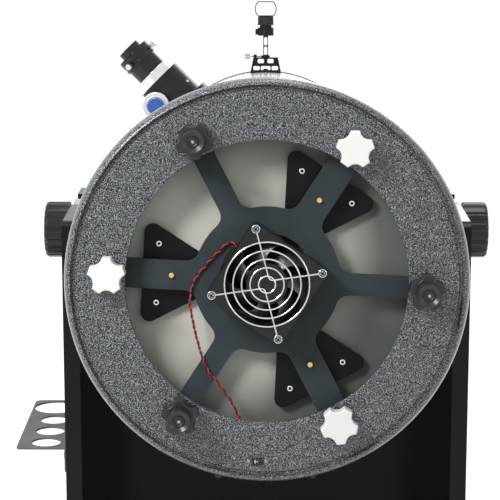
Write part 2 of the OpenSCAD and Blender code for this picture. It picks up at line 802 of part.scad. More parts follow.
module fan_frame() color("#161618") {
    fan_frame_turn() difference() {
        union() {
            difference() {
                slab_y(fan_rear_y, cell_rear_y) round_rect(fan_w, fan_w, fan_corner_r);
                rod_y(fan_bore_r, fan_rear_y - 1, cell_rear_y + 1);
            }
            rod_y(motor_r + 1, cell_rear_y - motor_seat_t, cell_rear_y);
            for (a = [10, 130, 250]) around(a)
                block([motor_r, cell_rear_y - motor_seat_t, -3], [fan_bore_r + 1, cell_rear_y, 3]);
        }
        rod_y(2 + snug, cell_rear_y - motor_seat_t - 1, cell_rear_y + 1);
        for (x = [-1, 1] * fan_hole / 2, z = [-1, 1] * fan_hole / 2) translate([x, 0, z])
            rod_y(fan_screw_r + seat, fan_rear_y - 1, cell_rear_y + 1);
    }
}

blade_count = 7;

module fan_rotor() color("#1a1a1c") fan_frame_turn() {
    hub_front = cell_rear_y - motor_seat_t - loose;
    rod_y(motor_r, fan_rear_y + 1.5, hub_front);
    rod_y(2, hub_front - tiny, cell_rear_y - 0.5);
    middle = (fan_rear_y + 1.5 + hub_front) / 2;
    half_blade = (hub_front - fan_rear_y) * 0.53;
    blade_reach = sqrt(pow(fan_bore_r - 0.9, 2) - pow(half_blade * sin(38) + 0.8, 2));
    for (k = [1:blade_count]) around(360 / blade_count * k) translate([0, middle, 0])
        rotate([38, 0, 0]) block([motor_r - 1, -half_blade, -0.8], [blade_reach, half_blade, 0.8]);
}

// Wire guard: rings on two bent wires that end in an eyelet at each corner
guard_r = fan_bore_r - 0.5;
eyelet_r = 3.2;
elbow_off = 4;
wire_sink = guard_wire * 0.3;
fan_head_y = guard_y - guard_wire / 2 - wire_sink - seat;

module wire_ring(r) rotate([-90, 0, 0]) rotate_extrude() translate([r, 0]) circle(guard_wire / 2, $fn = 16);

module straight_wire(a, b) translate([a.x, 0, a.y])
    around(atan2(b.y - a.y, b.x - a.x)) rod_x(guard_wire / 2, 0, norm(b - a));

module fan_guard() color("#b4b7ba") fan_frame_turn() translate([0, guard_y, 0]) {
    for (k = [1:guard_rings]) translate([0, -wire_sink - guard_wire * 0.55, 0])
        wire_ring(guard_r * k / guard_rings);
    for (z = [-1, 1]) {
        elbow = [0, z * elbow_off];
        translate([0, -wire_sink, elbow.y]) sphere(guard_wire / 2 + 0.1, $fn = 24);
        for (x = [-1, 1]) {
            corner = [x, z] * fan_hole / 2;
            translate([corner.x, 0, corner.y]) wire_ring(eyelet_r);
            translate([0, -wire_sink, 0])
                straight_wire(elbow, corner - (corner - elbow) / norm(corner - elbow) * (eyelet_r - 0.3));
        }
    }
}

module fan_screws() color("#8d8f92") {
    tube_frame() at_fan_screws() {
        rod_y(3.6, fan_head_y - 2, fan_head_y);
        rod_y(fan_screw_r, fan_head_y - tiny, cell_front_y + 1);
    }
    jack_frame() at_jack_screws() {
        rod_y(2.1, -1.4, 0);
        rod_y(jack_screw_r, -tiny, face_t + jack_plate_t + 1);
    }
}

jack_angle = 267;
jack_circle = opening_r + 36;
jack_w = 9;
jack_h = 6.3;
jack_screws_apart = 15.8;
jack_screw_r = 1.2;
jack_plate_t = 2;
jack_back = face_t + jack_plate_t + 3;
jack_spot = jack_circle * [cos(jack_angle), sin(jack_angle)];

// Frame of the power socket: Y runs forwards from the ring's face
module jack_frame() tube_frame() translate([jack_spot.x, ring_face_y, jack_spot.y]) children();

module at_jack_screws() for (s = [-1, 1]) translate([s * jack_screws_apart / 2, 0, 0]) children();

module power_jack() color("#1b1b1d") jack_frame() {
    difference() {
        union() {
            block([-jack_w / 2, -2, -jack_h / 2], [jack_w / 2, jack_back, jack_h / 2]);
            block([-11, face_t, -4], [11, face_t + jack_plate_t, 4]);
        }
        rod_y(2.6, -3, face_t);
        at_jack_screws() rod_y(jack_screw_r + seat, face_t - 1, face_t + jack_plate_t + 1);
    }
    rod_y(1, -1.2, face_t + tiny);
}

// The fan's lead, from the fan's side down to the back of the socket, as [across, up] on the cell's
// rear, and then as a quarter turn rearwards into the socket
lead_route = [[-27.6, 31.4], [-31.6, 34], [-35, 34.2], [-38.6, 31.4], [-43, 26.8], [-48.5, 21.5],
    [-56.5, 12.5], [-63, 4.5], [-68.5, -6], [-70, -21], [-68, -34.5], [-65, -49], [-62, -60.5],
    [-58, -73.5], [-53, -84], [-46.5, -92], [-40, -101], [-32.5, -111.5], [-27, -122.5], [-21.5, -133.5],
    [-15.5, -144.5]];
lead_y = cell_rear_y - lead_d / 2 - loose;
lead_bend = 7;
lead_end = [jack_spot.x, ring_face_y + jack_back + loose, jack_spot.y];
lead_line = concat([for (p = lead_route) [p.x, lead_y, p.y]],
    [for (a = [0:30:90]) lead_end + lead_bend * [-0.3 * (1 - sin(a)), cos(a), 1 - sin(a)]]);

module fan_lead() color("#8c2f2c") tube_frame() swept_tube(lead_line, lead_d / 2, 8);

// ---------- secondary mirror and spider ----------

secondary_r = secondary_d / 2;
holder_end = secondary_r + secondary_t * sqrt(2) + 6;
spider_hub_y = focus_y + holder_end + 6;
spider_depth = 20;
spider_hub_r = 19;
vane_t = 1.2;
vane_block = 12;

// Frame at the middle of the secondary: X points to the focuser
module slanted(from, to) rotate([0, 0, 45]) block([-80, from, -60], [80, to, 60]);

module secondary_mirror() color("#dfe3e6") focuser_frame() intersection() {
    rod_y(secondary_r, -secondary_r - 5, holder_end);
    slanted(0, secondary_t);
}

module secondary_holder() color("#1d1d20") focuser_frame() difference() {
    intersection() {
        rod_y(secondary_r - 0.4, -secondary_r, holder_end);
        slanted(secondary_t, 120);
    }
    rod_y(3.1, holder_end - 5, holder_end + 1);
}

module spider() color("#1f2022") tube_frame() translate([0, spider_hub_y, 0]) difference() {
    union() {
        rod_y(spider_hub_r, 0, spider_depth);
        for (a = [0:90:270]) around(a) {
            block([0, 0, -vane_t / 2], [tube_r - tube_wall - 4, spider_depth, vane_t / 2]);
            translate([tube_r - tube_wall - 8, spider_depth / 2 - 5, -5]) cube([7.7, 10, 10]);
        }
    }
    rod_y(3.1, -1, spider_depth + 1);
    for (a = [45, 165, 285]) on_circle(a, 12) rod_y(2.1, -1, spider_depth + 1);
    translate([0, -spider_hub_y, 0]) at_spider_nuts()
        rod_x(tube_shank_r + seat, tube_r - tube_wall - 9, tube_r);
}

module at_spider_nuts() for (a = [0:90:270]) around(a)
    translate([0, spider_hub_y + spider_depth / 2, 0]) children();

module spider_screws() color("#9a9da0") {
    tube_frame() at_spider_nuts() {
        rod_x(5, tube_r + seat, tube_r + 3);
        rod_x(tube_shank_r, tube_r - tube_wall - 8, tube_r + seat + tiny);
    }
    tube_frame() translate([0, spider_hub_y, 0]) {
        rod_y(3, -10, spider_depth);
        rod_y(5, spider_depth, spider_depth + 4);
        for (a = [45, 165, 285]) on_circle(a, 12) {
            rod_y(2, -6, spider_depth);
            rod_y(3.5, spider_depth, spider_depth + 4);
        }
    }
}

// ---------- focuser ----------

drawtube_r = drawtube_d / 2;
barrel_r = two_inch / 2;
shaft_r = 3;
shaft_off = drawtube_r + shaft_r + 0.1;
shaft_up = tube_r + focuser_h * 0.54;
draw_len = focuser_h + draw_show + 2;
coarse_w = 13;
knob_start = focuser_r + 2;

module shaft_frame() focuser_frame() translate([shaft_up, 0, shaft_off]) children();

module focuser_body() color("#1c1d20") difference() {
    focuser_frame() difference() {
        union() {
            rod_x(flange_r, tube_r - 12, flange_top);
            rod_x(focuser_r, tube_r - 12, body_top);
            block([shaft_up - 10, -knob_start + 2, 10], [shaft_up + 10, knob_start - 2, shaft_off + 10]);
        }
        translate([0, -focus_y, 0]) rod_y(ring_seat_r, 0, tube_fore);
        rod_x(drawtube_r + snug, tube_r - 20, body_top + 1);
        for (a = [45:90:315]) rotate([a, 0, 0]) translate([0, focuser_r + 5, 0])
            rod_x(tube_shank_r + seat, tube_r - 20, flange_top + 1);
    }
    shaft_frame() rod_y(shaft_r + snug, -knob_start, knob_start);
}

module drawtube() color("#e4e6e8") focuser_frame() difference() {
    rod_x(drawtube_r, draw_top - draw_len, draw_top);
    rod_x(barrel_r + seat, draw_top - draw_len - 1, draw_top + 1);
}

collar_r = barrel_r + 2.6;

module extension_tube() color("#17171a") focuser_frame() difference() {
    union() {
        rod_x(barrel_r, draw_top - 20, collar_bottom + 1);
        rod_x(collar_r, collar_bottom, collar_top);
    }
    rod_x(barrel_r - 2, draw_top - 21, collar_bottom - 3);
    rod_x(barrel_r + snug - 1, collar_bottom - 4, collar_top + 1);
    for (a = eyepiece_screw_angles) rotate([a, 0, 0]) translate([collar_bottom + collar_screw_up, 0, 0])
        rod_y(2 + snug, 15, 40);
}

adapter_barrel_r = barrel_r - 1;

module eyepiece_adapter() color("#18181b") focuser_frame() difference() {
    union() {
        rod_x(adapter_barrel_r, collar_bottom - 2, collar_top);
        rod_x(collar_r - 0.5, collar_top + tiny, collar_top + 2);
        rod_x(small_bore / 2 + 2.6, collar_top, adapter_top);
    }
    rod_x(small_bore / 2, collar_bottom - 3, adapter_top + 1);
}

eyepiece_screw_angles = [150, 250];

module eyepiece_screw(angle) color("#b9bcc0") focuser_frame() rotate([angle, 0, 0])
    translate([collar_bottom + collar_screw_up, 0, 0]) {
        rod_y(2, adapter_barrel_r + 0.2, collar_r + 4);
        rod_y(5, collar_r + 3, collar_r + 11);
    }

module eyepiece_screw_1() eyepiece_screw(eyepiece_screw_angles[0]);

module eyepiece_screw_2() eyepiece_screw(eyepiece_screw_angles[1]);

module focus_knob() color("#dcdee0") shaft_frame() difference() {
    union() {
        rod_y(shaft_r, -knob_start - tiny, knob_start + tiny);
        for (s = [0, 1]) mirror([0, s, 0]) {
            rod_y(coarse_d / 2, knob_start, knob_start + coarse_w);
            rod_y(coarse_d / 2 - 6, knob_start + coarse_w - 1, knob_start + coarse_w + 1.5);
        }
    }
    rod_y(2.5 + snug, -knob_start - coarse_w - 3, -knob_start - 3);
}

module fine_knob() color("#4a6fb5") shaft_frame() {
    rod_y(2.5, -knob_start - coarse_w - 3, -knob_start - 4);
    rod_y(fine_d / 2, -knob_start - coarse_w - 14, -knob_start - coarse_w - 2);
}

// ---------- finder ----------

shoe_floor = 3;
shoe_len = 56;
clamp_up = 1.8;
clamp_r = 1.2;
ear_w = 5;
foot_half = 6.5;
foot_t = 3.2;
post_w = 7.5;
post_len = 26;
post_top = shoe_h + post_h;
neck_collar_r = 12.2;
neck_collar_h = 12;
neck_r = 9.2;
neck_h = 4;
spindle_up_r = 5;
dial_low = post_top + neck_collar_h + neck_h + loose;
dial_h = 12.2;
dial_r = 11.8;
rim_low = dial_low + dial_h + loose;
rim_t = 1.8;
window_w = 33;
window_wire = 1.3;
window_up = 21.5;
window_top = rim_low + rim_t + window_up;
window_mid = window_top - 11.5;

// Frame of the finder: Z runs up from the tube's surface
module finder_frame() tube_frame() translate([-finder_left, focus_y - finder_back, tube_r]) children();

module at_shoe_screws() finder_frame() for (y = [-1, 1] * shoe_len * 0.3) translate([0, y, 0]) children();

// Shoe: a trapezoid with windows, hollowed to the tube's curve, and an ear for the thumbscrew
module finder_shoe() color("#1a1a1c") difference() {
    top_w = shoe_w - 9;
    finder_frame() difference() {
        union() {
            slab_y(-shoe_len / 2, shoe_len / 2) difference() {
                polygon([[-shoe_w / 2, -3], [shoe_w / 2, -3], [shoe_w / 2, 1],
                    [top_w / 2, shoe_h], [-top_w / 2, shoe_h], [-shoe_w / 2, 1]]);
                for (x = [-14, 0, 14]) translate([x, shoe_floor + 3.2]) round_rect(x == 0 ? 15 : 10, 6.4, 2);
                for (x = [-7.4, 7.4]) translate([x, shoe_h - 5.6]) round_rect(9.6, 6.6, 2);
            }
            block([-top_w / 2, -7, shoe_h - tiny],
                [-top_w / 2 + ear_w, 7, shoe_h + clamp_up + clamp_r + 1.4]);
        }
        translate([finder_left, -focus_y + finder_back, -tube_r]) rod_y(ring_seat_r, 0, tube_fore);
        translate([0, 0, shoe_h + clamp_up]) rod_x(clamp_r + snug, -top_w, 0);
    }
    at_shoe_screws() rod_z(tube_shank_r + seat, -12, shoe_floor + 1);
}

module shoe_thumbscrew() color("#b9bcc0") finder_frame() translate([0, 0, shoe_h + clamp_up]) {
    rod_x(clamp_r, -shoe_w / 2 - 2, -foot_half - 0.2);
    rod_x(4.5, -shoe_w / 2 - 9, -shoe_w / 2 - 1);
}

// Finder on its foot: a post of two thin cheeks, a collar with a side knob, and the window's loop
module finder_body() color("#202124") finder_frame() {
    block([-foot_half, -post_len / 2 - 3, shoe_h + 0.05], [foot_half, post_len / 2 + 3, shoe_h + foot_t]);
    slab_y(-post_len / 2, post_len / 2) difference() {
        translate([-post_w / 2, shoe_h + 1]) square([post_w, post_h]);
        for (z = [0.31, 0.74] * post_h) translate([0, shoe_h + z])
            round_rect(post_w - 2.4, post_h * 0.38, 2.2);
    }
    rod_z(neck_collar_r, post_top, post_top + neck_collar_h);
    translate([0, 0, post_top + neck_collar_h / 2]) rod_x(4.4, -neck_collar_r - 3.5, -neck_r);
    rod_z(neck_r, post_top + neck_collar_h - tiny, post_top + neck_collar_h + neck_h);
    rod_z(spindle_up_r, post_top + neck_collar_h, rim_low + 1);
    rod_z(dial_r - 0.2, rim_low, rim_low + rim_t);
    slab_y(-1.5, 1.5) difference() {
        window_outline(0, rim_low + 0.4);
        window_outline(window_wire, rim_low);
    }
}

// Round window, cut flat at its top and at a level near its foot
module window_outline(inset, from_z) intersection() {
    translate([0, window_mid]) circle(window_w / 2 - inset);
    translate([-window_w / 2, from_z]) square([window_w, window_top - inset - from_z]);
}

module finder_lens() color([0.7, 0.8, 0.85, 0.4]) finder_frame() slab_y(-0.8, 0.8)
    window_outline(window_wire + 0.05, rim_low + rim_t + 0.05);

// Ribbed dial, flared at its foot
module finder_dial() color("#38393c") finder_frame() difference() {
    union() {
        rod_z(dial_r, dial_low, dial_low + dial_h);
        rod_z(dial_r + 0.9, dial_low, dial_low + 1.8);
    }
    rod_z(spindle_up_r + snug, dial_low - 1, dial_low + dial_h + 1);
    for (k = [0:23]) rotate(15 * k) translate([dial_r + 0.6, 0, 0])
        rod_z(0.9, dial_low + 2.4, dial_low + dial_h + 1);
}

ground_board();
feet();
pivot_bolt();
lower_race();
roller_cage();
rollers();
upper_race();
base_board();
left_board();
right_board();
front_board();
board_screws();
wood_screws();
handle();
tube_stop();
bearing_rings();
eyepiece_tray();
tube();
rear_ring();
front_ring();
tube_screws();
side_brackets();
cell_frame();
support_triangles();
pivot_screws();
mirror_pads();
primary_mirror();
mirror_clips();
collimation_springs();
fan_frame();
fan_guard();
fan_screws();
fan_lead();
power_jack();
spider();
spider_screws();
secondary_holder();
secondary_mirror();
focuser_body();
finder_shoe();
finder_body();
finder_lens();
fan_rotor();
left_tension_knob();
right_tension_knob();
collimation_knob_1();
collimation_knob_2();
collimation_knob_3();
lock_knob_1();
lock_knob_2();
lock_knob_3();
drawtube();
extension_tube();
eyepiece_adapter();
eyepiece_screw_1();
eyepiece_screw_2();
focus_knob();
fine_knob();
finder_dial();
shoe_thumbscrew();
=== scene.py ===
import json
import math

import bmesh
import bpy
from mathutils import Matrix, Vector

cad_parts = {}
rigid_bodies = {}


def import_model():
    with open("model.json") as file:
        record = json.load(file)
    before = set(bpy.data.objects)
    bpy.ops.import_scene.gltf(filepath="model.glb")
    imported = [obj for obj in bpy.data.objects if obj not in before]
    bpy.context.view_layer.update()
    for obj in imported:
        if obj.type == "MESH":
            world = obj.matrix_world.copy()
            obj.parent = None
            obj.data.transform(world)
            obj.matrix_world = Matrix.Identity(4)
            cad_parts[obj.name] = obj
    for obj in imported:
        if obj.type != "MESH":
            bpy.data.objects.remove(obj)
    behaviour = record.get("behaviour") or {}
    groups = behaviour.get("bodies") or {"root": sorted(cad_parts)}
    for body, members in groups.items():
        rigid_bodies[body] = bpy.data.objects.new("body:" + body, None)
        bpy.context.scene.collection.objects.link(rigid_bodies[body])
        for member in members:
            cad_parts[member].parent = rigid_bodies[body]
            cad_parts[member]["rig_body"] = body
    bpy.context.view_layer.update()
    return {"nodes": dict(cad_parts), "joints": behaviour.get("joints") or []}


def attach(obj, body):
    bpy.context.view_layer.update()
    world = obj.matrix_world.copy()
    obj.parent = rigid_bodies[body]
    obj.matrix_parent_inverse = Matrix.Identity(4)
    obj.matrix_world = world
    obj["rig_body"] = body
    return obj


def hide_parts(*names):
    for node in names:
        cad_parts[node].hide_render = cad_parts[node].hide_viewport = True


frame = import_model()
scene = bpy.context.scene
scene.view_settings.view_transform = "Standard"

# ---------- camera, floor and lamps ----------
# A product photo from behind and a little above the telescope, taken with a long lens in a white
# studio. The floor is white paper that runs on past the view, and large soft lamps hang round it.

AXIS = Vector(next(j["pos_m"] for j in frame["joints"] if j["name"] == "altitude"))

# Where the camera stands from that axis, and how far it looks down and to the left, in degrees
CAMERA_PLACE = Vector((-0.0036, -2.1925, 0.4159))
LOOKS_DOWN, LOOKS_LEFT = 11.36, 0.4
camera_data = bpy.data.cameras.new("camera")
camera_data.lens = 136.9
camera_data.sensor_width = 36
camera_data.clip_end = 100
camera = bpy.data.objects.new("camera", camera_data)
camera.location = AXIS + CAMERA_PLACE
camera.rotation_euler = (math.radians(90 - LOOKS_DOWN), 0, math.radians(LOOKS_LEFT))
scene.collection.objects.link(camera)
scene.camera = camera


def paint(colour):
    """Turns an sRGB hex colour into the linear values that a shader wants."""
    shares = [int(colour[i:i + 2], 16) / 255 for i in (1, 3, 5)]
    return [c / 12.92 if c <= 0.04045 else ((c + 0.055) / 1.055) ** 2.4 for c in shares] + [1.0]


def add_node(tree, kind, feeds=None, **settings):
    """Adds a node. feeds holds a value, or the socket that feeds it, for each of its inputs."""
    node = tree.nodes.new(kind)
    for name, value in settings.items():
        setattr(node, name, value)
    for name, value in (feeds or {}).items():
        if isinstance(value, bpy.types.NodeSocket):
            tree.links.new(value, node.inputs[name])
        else:
            node.inputs[name].default_value = value
    return node


def seen_directly(tree):
    """1 for a ray from the camera, or one that a mirror or a glass sends on."""
    rays = add_node(tree, "ShaderNodeLightPath")
    bounced = add_node(tree, "ShaderNodeMath", {0: rays.outputs["Is Glossy Ray"],
                                               1: rays.outputs["Is Transmission Ray"]}, operation="MAXIMUM")
    return add_node(tree, "ShaderNodeMath", {0: rays.outputs["Is Camera Ray"], 1: bounced.outputs[0]},
                    operation="MAXIMUM").outputs[0]


AMBIENT, FLOOR_GLOW = 0.4, 0.8
studio = bpy.data.worlds.new("studio")
scene.world = studio
studio.use_nodes = True
tree = studio.node_tree
tree.nodes.clear()
room = add_node(tree, "ShaderNodeBackground", {"Color": paint("#ffffff"), "Strength": AMBIENT})
backdrop = add_node(tree, "ShaderNodeBackground", {"Color": paint("#ffffff"), "Strength": 1.0})
either = add_node(tree, "ShaderNodeMixShader", {0: seen_directly(tree), 1: room.outputs[0],
                                                2: backdrop.outputs[0]})
add_node(tree, "ShaderNodeOutputWorld", {"Surface": either.outputs[0]})

FLOOR_SIZE = 60.0
floor_mesh = bpy.data.meshes.new("floor")
corners = [(-1, -1), (1, -1), (1, 1), (-1, 1)]
floor_mesh.from_pydata([(x * FLOOR_SIZE / 2, y * FLOOR_SIZE / 2, 0) for x, y in corners], [], [(0, 1, 2, 3)])
floor = bpy.data.objects.new("floor", floor_mesh)
scene.collection.objects.link(floor)
paper = bpy.data.materials.new("white_paper")
paper.use_nodes = True
tree = paper.node_tree
tree.nodes.clear()
grey = add_node(tree, "ShaderNodeBsdfDiffuse", {"Color": paint("#cfcfcf")})
glow = add_node(tree, "ShaderNodeEmission", {"Color": paint("#ffffff"), "Strength": FLOOR_GLOW})
bright = add_node(tree, "ShaderNodeAddShader", {0: grey.outputs[0], 1: glow.outputs[0]})
either = add_node(tree, "ShaderNodeMixShader", {0: seen_directly(tree), 1: grey.outputs[0],
                                                2: bright.outputs[0]})
add_node(tree, "ShaderNodeOutputMaterial", {"Surface": either.outputs[0]})
floor_mesh.materials.append(paper)

# Place of each lamp from the altitude axis, its width and its power
for name, place, width, power in (("key_lamp", (-1.0, -1.35, 1.1), 0.5, 27),
                                  ("fill_lamp", (2.1, -2.0, 1.0), 0.6, 6),
                                  ("top_lamp", (0.3, 0.4, 2.7), 1.4, 22),
                                  ("front_lamp", (0.8, 3.2, 1.2), 1.4, 16)):
    lamp_data = bpy.data.lights.new(name, "AREA")
    lamp_data.size = width
    lamp_data.energy = power
    lamp = bpy.data.objects.new(name, lamp_data)
    lamp.location = AXIS + Vector(place)
    lamp.rotation_euler = (-Vector(place)).to_track_quat("-Z", "Y").to_euler()
    scene.collection.objects.link(lamp)

# ---------- fan lead ----------
# A red and a black vinyl-covered wire twisted together, which run from the fan's side across the
# cell and in behind the rear ring to the power socket. It lies loose on the cell's back.

# From here on, places on the tube are millimetres in its own frame: X across, Y forwards along its
# axis and Z up, from the middle of the altitude axis.
TUBE_DIP = 5.5
TUBE = Matrix.Translation(AXIS) @ Matrix.Rotation(math.radians(-TUBE_DIP), 4, "X") @ Matrix.Scale(0.001, 4)
RING_FACE, CELL_REAR = -522, -504


def surface_finish(name, colour, other, roughness, grain, depth, metallic=0.0, stretch=(1, 1, 1), patch=25,
                   **sockets):
    """An uneven surface: grain (mm) and depth (mm) of its relief, and patches (mm) of another colour."""
    material = bpy.data.materials.new(name)
    material.use_nodes = True
    tree = material.node_tree
    shader = tree.nodes["Principled BSDF"]
    place = add_node(tree, "ShaderNodeTexCoord").outputs["Object"]
    drawn = add_node(tree, "ShaderNodeMapping", {"Vector": place, "Scale": stretch}).outputs[0]
    relief = add_node(tree, "ShaderNodeTexNoise", {"Vector": drawn, "Scale": 1000 / grain, "Detail": 2})
    cloud = add_node(tree, "ShaderNodeTexNoise", {"Vector": drawn, "Scale": 1000 / patch, "Detail": 3})
    both = add_node(tree, "ShaderNodeMath", {0: relief.outputs["Fac"], 1: cloud.outputs["Fac"]},
                    operation="ADD")
    spread = {"Value": both.outputs[0], "From Min": 0.75, "From Max": 1.25}
    share = add_node(tree, "ShaderNodeMapRange", spread)
    hue = add_node(tree, "ShaderNodeMix", {0: share.outputs[0], 6: paint(colour), 7: paint(other)},
                   data_type="RGBA")
    gloss = add_node(tree, "ShaderNodeMapRange", {**spread, "To Min": roughness[0], "To Max": roughness[1]})
    bump = add_node(tree, "ShaderNodeBump", {"Height": relief.outputs["Fac"], "Distance": depth / 1000,
                                             "Strength": 1.0})
    tree.links.new(hue.outputs[2], shader.inputs["Base Color"])
    tree.links.new(gloss.outputs[0], shader.inputs["Roughness"])
    tree.links.new(bump.outputs[0], shader.inputs["Normal"])
    shader.inputs["Metallic"].default_value = metallic
    for socket, value in sockets.items():
        shader.inputs[socket.replace("_", " ")].default_value = value
    return material


def skin(rings, joined=False):
    """A surface through rings of points. joined carries it from the last ring back to the first."""
    count = len(rings[0])
    faces = []
    for i in range(len(rings) if joined else len(rings) - 1):
        a, b = i * count, (i + 1) % len(rings) * count
        faces += [(a + k, a + (k + 1) % count, b + (k + 1) % count, b + k) for k in range(count)]
    if not joined:
        last = (len(rings) - 1) * count
        faces += [tuple(range(count))[::-1], tuple(range(last, last + count))]
    return [Vector(p) for ring in rings for p in ring], faces


SHARP = math.radians(38)


def shade_smooth(mesh):
    """Rounds the shading over every edge that is blunter than SHARP."""
    mesh.polygons.foreach_set("use_smooth", [True] * len(mesh.polygons))
    mesh.set_sharp_from_angle(angle=SHARP)


def finish_mesh(mesh):
    """Joins a new mesh's surfaces where they meet, turns its faces outwards and shades it."""
    shape = bmesh.new()
    shape.from_mesh(mesh)
    bmesh.ops.remove_doubles(shape, verts=shape.verts, dist=2e-6)
    bmesh.ops.recalc_face_normals(shape, faces=shape.faces)
    shape.to_mesh(mesh)
    shape.free()
    shade_smooth(mesh)


def make_piece(name, surfaces, place, body, nodes=()):
    """A piece of one or more surfaces, each with its material, in the frame of place."""
    mesh = bpy.data.meshes.new(name)
    points, faces, kinds = [], [], []
    for material, (some_points, some_faces) in surfaces:
        if material.name not in mesh.materials:
            mesh.materials.append(material)
        kinds += [list(mesh.materials).index(material)] * len(some_faces)
        faces += [tuple(k + len(points) for k in face) for face in some_faces]
        points += some_points
    mesh.from_pydata([place @ p for p in points], [], faces)
    mesh.polygons.foreach_set("material_index", kinds)
    finish_mesh(mesh)
    piece = bpy.data.objects.new(name, mesh)
    scene.collection.objects.link(piece)
    piece.modifiers.new("flat faces stay flat", "WEIGHTED_NORMAL").keep_sharp = True
    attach(piece, body)
    if nodes:
        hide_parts(*nodes)
    return piece


def smooth_line(points, step):
    """A smooth line through points, with one point about every step."""
    line = []
    for i in range(len(points) - 1):
        before, a, b = points[max(i - 1, 0)], points[i], points[i + 1]
        after = points[min(i + 2, len(points) - 1)]
        count = max(1, round((b - a).length / step))
        for k in range(count):
            t = k / count
            line.append(0.5 * (2 * a + (b - before) * t + (2 * before - 5 * a + 4 * b - after) * t ** 2
                               + (3 * a - before - 3 * b + after) * t ** 3))
    return line + [points[-1]]


def tube_rings(line, radius, sides, twist=0.0, offset=0.0, start=0.0, looped=False):
    """Rings of a round wire along a line. offset and twist (mm a turn) wind it round that line."""
    rings, way, run = [], None, 0.0
    for i, point in enumerate(line):
        if looped:
            ahead = (line[(i + 1) % len(line)] - line[i - 1]).normalized()
        else:
            ahead = (line[min(i + 1, len(line) - 1)] - line[max(i - 1, 0)]).normalized()
        if way is None:
            side = ahead.orthogonal().normalized()
        else:
            side = (side - ahead * side.dot(ahead)).normalized()
            run += (point - line[i - 1]).length
        way, other = ahead, ahead.cross(side)
        turn = start + (2 * math.pi * run / twist if twist else 0)
        middle = point + offset * (side * math.cos(turn) + other * math.sin(turn))
        rings.append([middle + radius * (side * math.cos(2 * math.pi * k / sides)
                                         + other * math.sin(2 * math.pi * k / sides)) for k in range(sides)])
    return rings


# Across and up, from the fan's side down to the socket, as in the CAD
LEAD_ROUTE = [(-27.6, 31.4), (-31.6, 34), (-35, 34.2), (-38.6, 31.4), (-43, 26.8), (-48.5, 21.5),
              (-56.5, 12.5), (-63, 4.5), (-68.5, -6), (-70, -21), (-68, -34.5), (-65, -49), (-62, -60.5),
              (-58, -73.5), (-53, -84), (-46.5, -92), (-40, -101), (-32.5, -111.5), (-27, -122.5),
              (-21.5, -133.5), (-15.5, -144.5)]
LEAD_WIDTH, LEAD_BEND, TWIST = 2.8, 7, 10
LEAD_Y = CELL_REAR - LEAD_WIDTH / 2 - 0.3
JACK_CIRCLE, JACK_ANGLE, JACK_DEPTH = 164, math.radians(267), 11.3
JACK = Vector((JACK_CIRCLE * math.cos(JACK_ANGLE), RING_FACE, JACK_CIRCLE * math.sin(JACK_ANGLE)))
lead_end = JACK + Vector((0, JACK_DEPTH, 0))
route = [Vector((x, LEAD_Y, z)) for x, z in LEAD_ROUTE]
for degrees in range(0, 91, 30):
    sine, cosine = math.sin(math.radians(degrees)), math.cos(math.radians(degrees))
    route.append(lead_end + LEAD_BEND * Vector((-0.3 * (1 - sine), cosine, 1 - sine)))
lead_line = smooth_line(route, 1.0)

red_vinyl = surface_finish("red_vinyl", "#d4262c", "#b81c22", (0.28, 0.4), 0.5, 0.01)
black_vinyl = surface_finish("black_vinyl", "#17171a", "#242427", (0.3, 0.42), 0.5, 0.01)
strand = LEAD_WIDTH / 4
lead = make_piece("fan_lead_pair", [
    (red_vinyl, skin(tube_rings(lead_line, strand, 10, twist=TWIST, offset=strand))),
    (black_vinyl, skin(tube_rings(lead_line, strand, 10, twist=TWIST, offset=strand, start=math.pi)))],
    TUBE, "optical_tube", ["fan_lead"])

# ---------- ground board, feet and turning bearing ----------
# Round boards of black laminate, cut and edge-banded. The lower one stands on three rubber feet, and
# the upper one turns on steel rollers in a nylon cage round a centre bolt.


def eased(node_name, material, edge, segments=2):
    """A copy of a CAD node whose sharp edges are rounded over edge millimetres, in its place."""
    node = frame["nodes"][node_name]
    mesh = node.data.copy()
    mesh.materials.clear()
    mesh.materials.append(material)
    if "custom_normal" in mesh.attributes:
        mesh.attributes.remove(mesh.attributes["custom_normal"])
    shape = bmesh.new()
    shape.from_mesh(mesh)
    bmesh.ops.remove_doubles(shape, verts=shape.verts, dist=1e-6)
    bmesh.ops.dissolve_limit(shape, angle_limit=math.radians(0.4), verts=shape.verts, edges=shape.edges)
    shape.to_mesh(mesh)
    shape.free()
    shade_smooth(mesh)
    piece = bpy.data.objects.new(node_name + "_eased", mesh)
    scene.collection.objects.link(piece)
    round_over = piece.modifiers.new("round over", "BEVEL")
    round_over.width = edge / 1000
    round_over.segments = segments
    round_over.limit_method = "ANGLE"
    round_over.angle_limit = SHARP
    piece.modifiers.new("flat faces stay flat", "WEIGHTED_NORMAL").keep_sharp = True
    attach(piece, node["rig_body"])
    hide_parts(node_name)


def dress(material, *node_names):
    """Gives CAD nodes that stay as they are their material."""
    for name in node_names:
        mesh = frame["nodes"][name].data
        mesh.materials.clear()
        mesh.materials.append(material)


# Melamine-faced board has a fine, low grain with a satin shine
black_laminate = surface_finish("black_laminate", "#080808", "#0b0b0c", (0.1, 0.17), 0.7, 0.005,
                                patch=60, IOR=1.19)
# Moulded rubber is dull, with a faint bloom
foot_rubber = surface_finish("moulded_rubber", "#131314", "#1a1a1b", (0.7, 0.85), 0.8, 0.03, IOR=1.25)
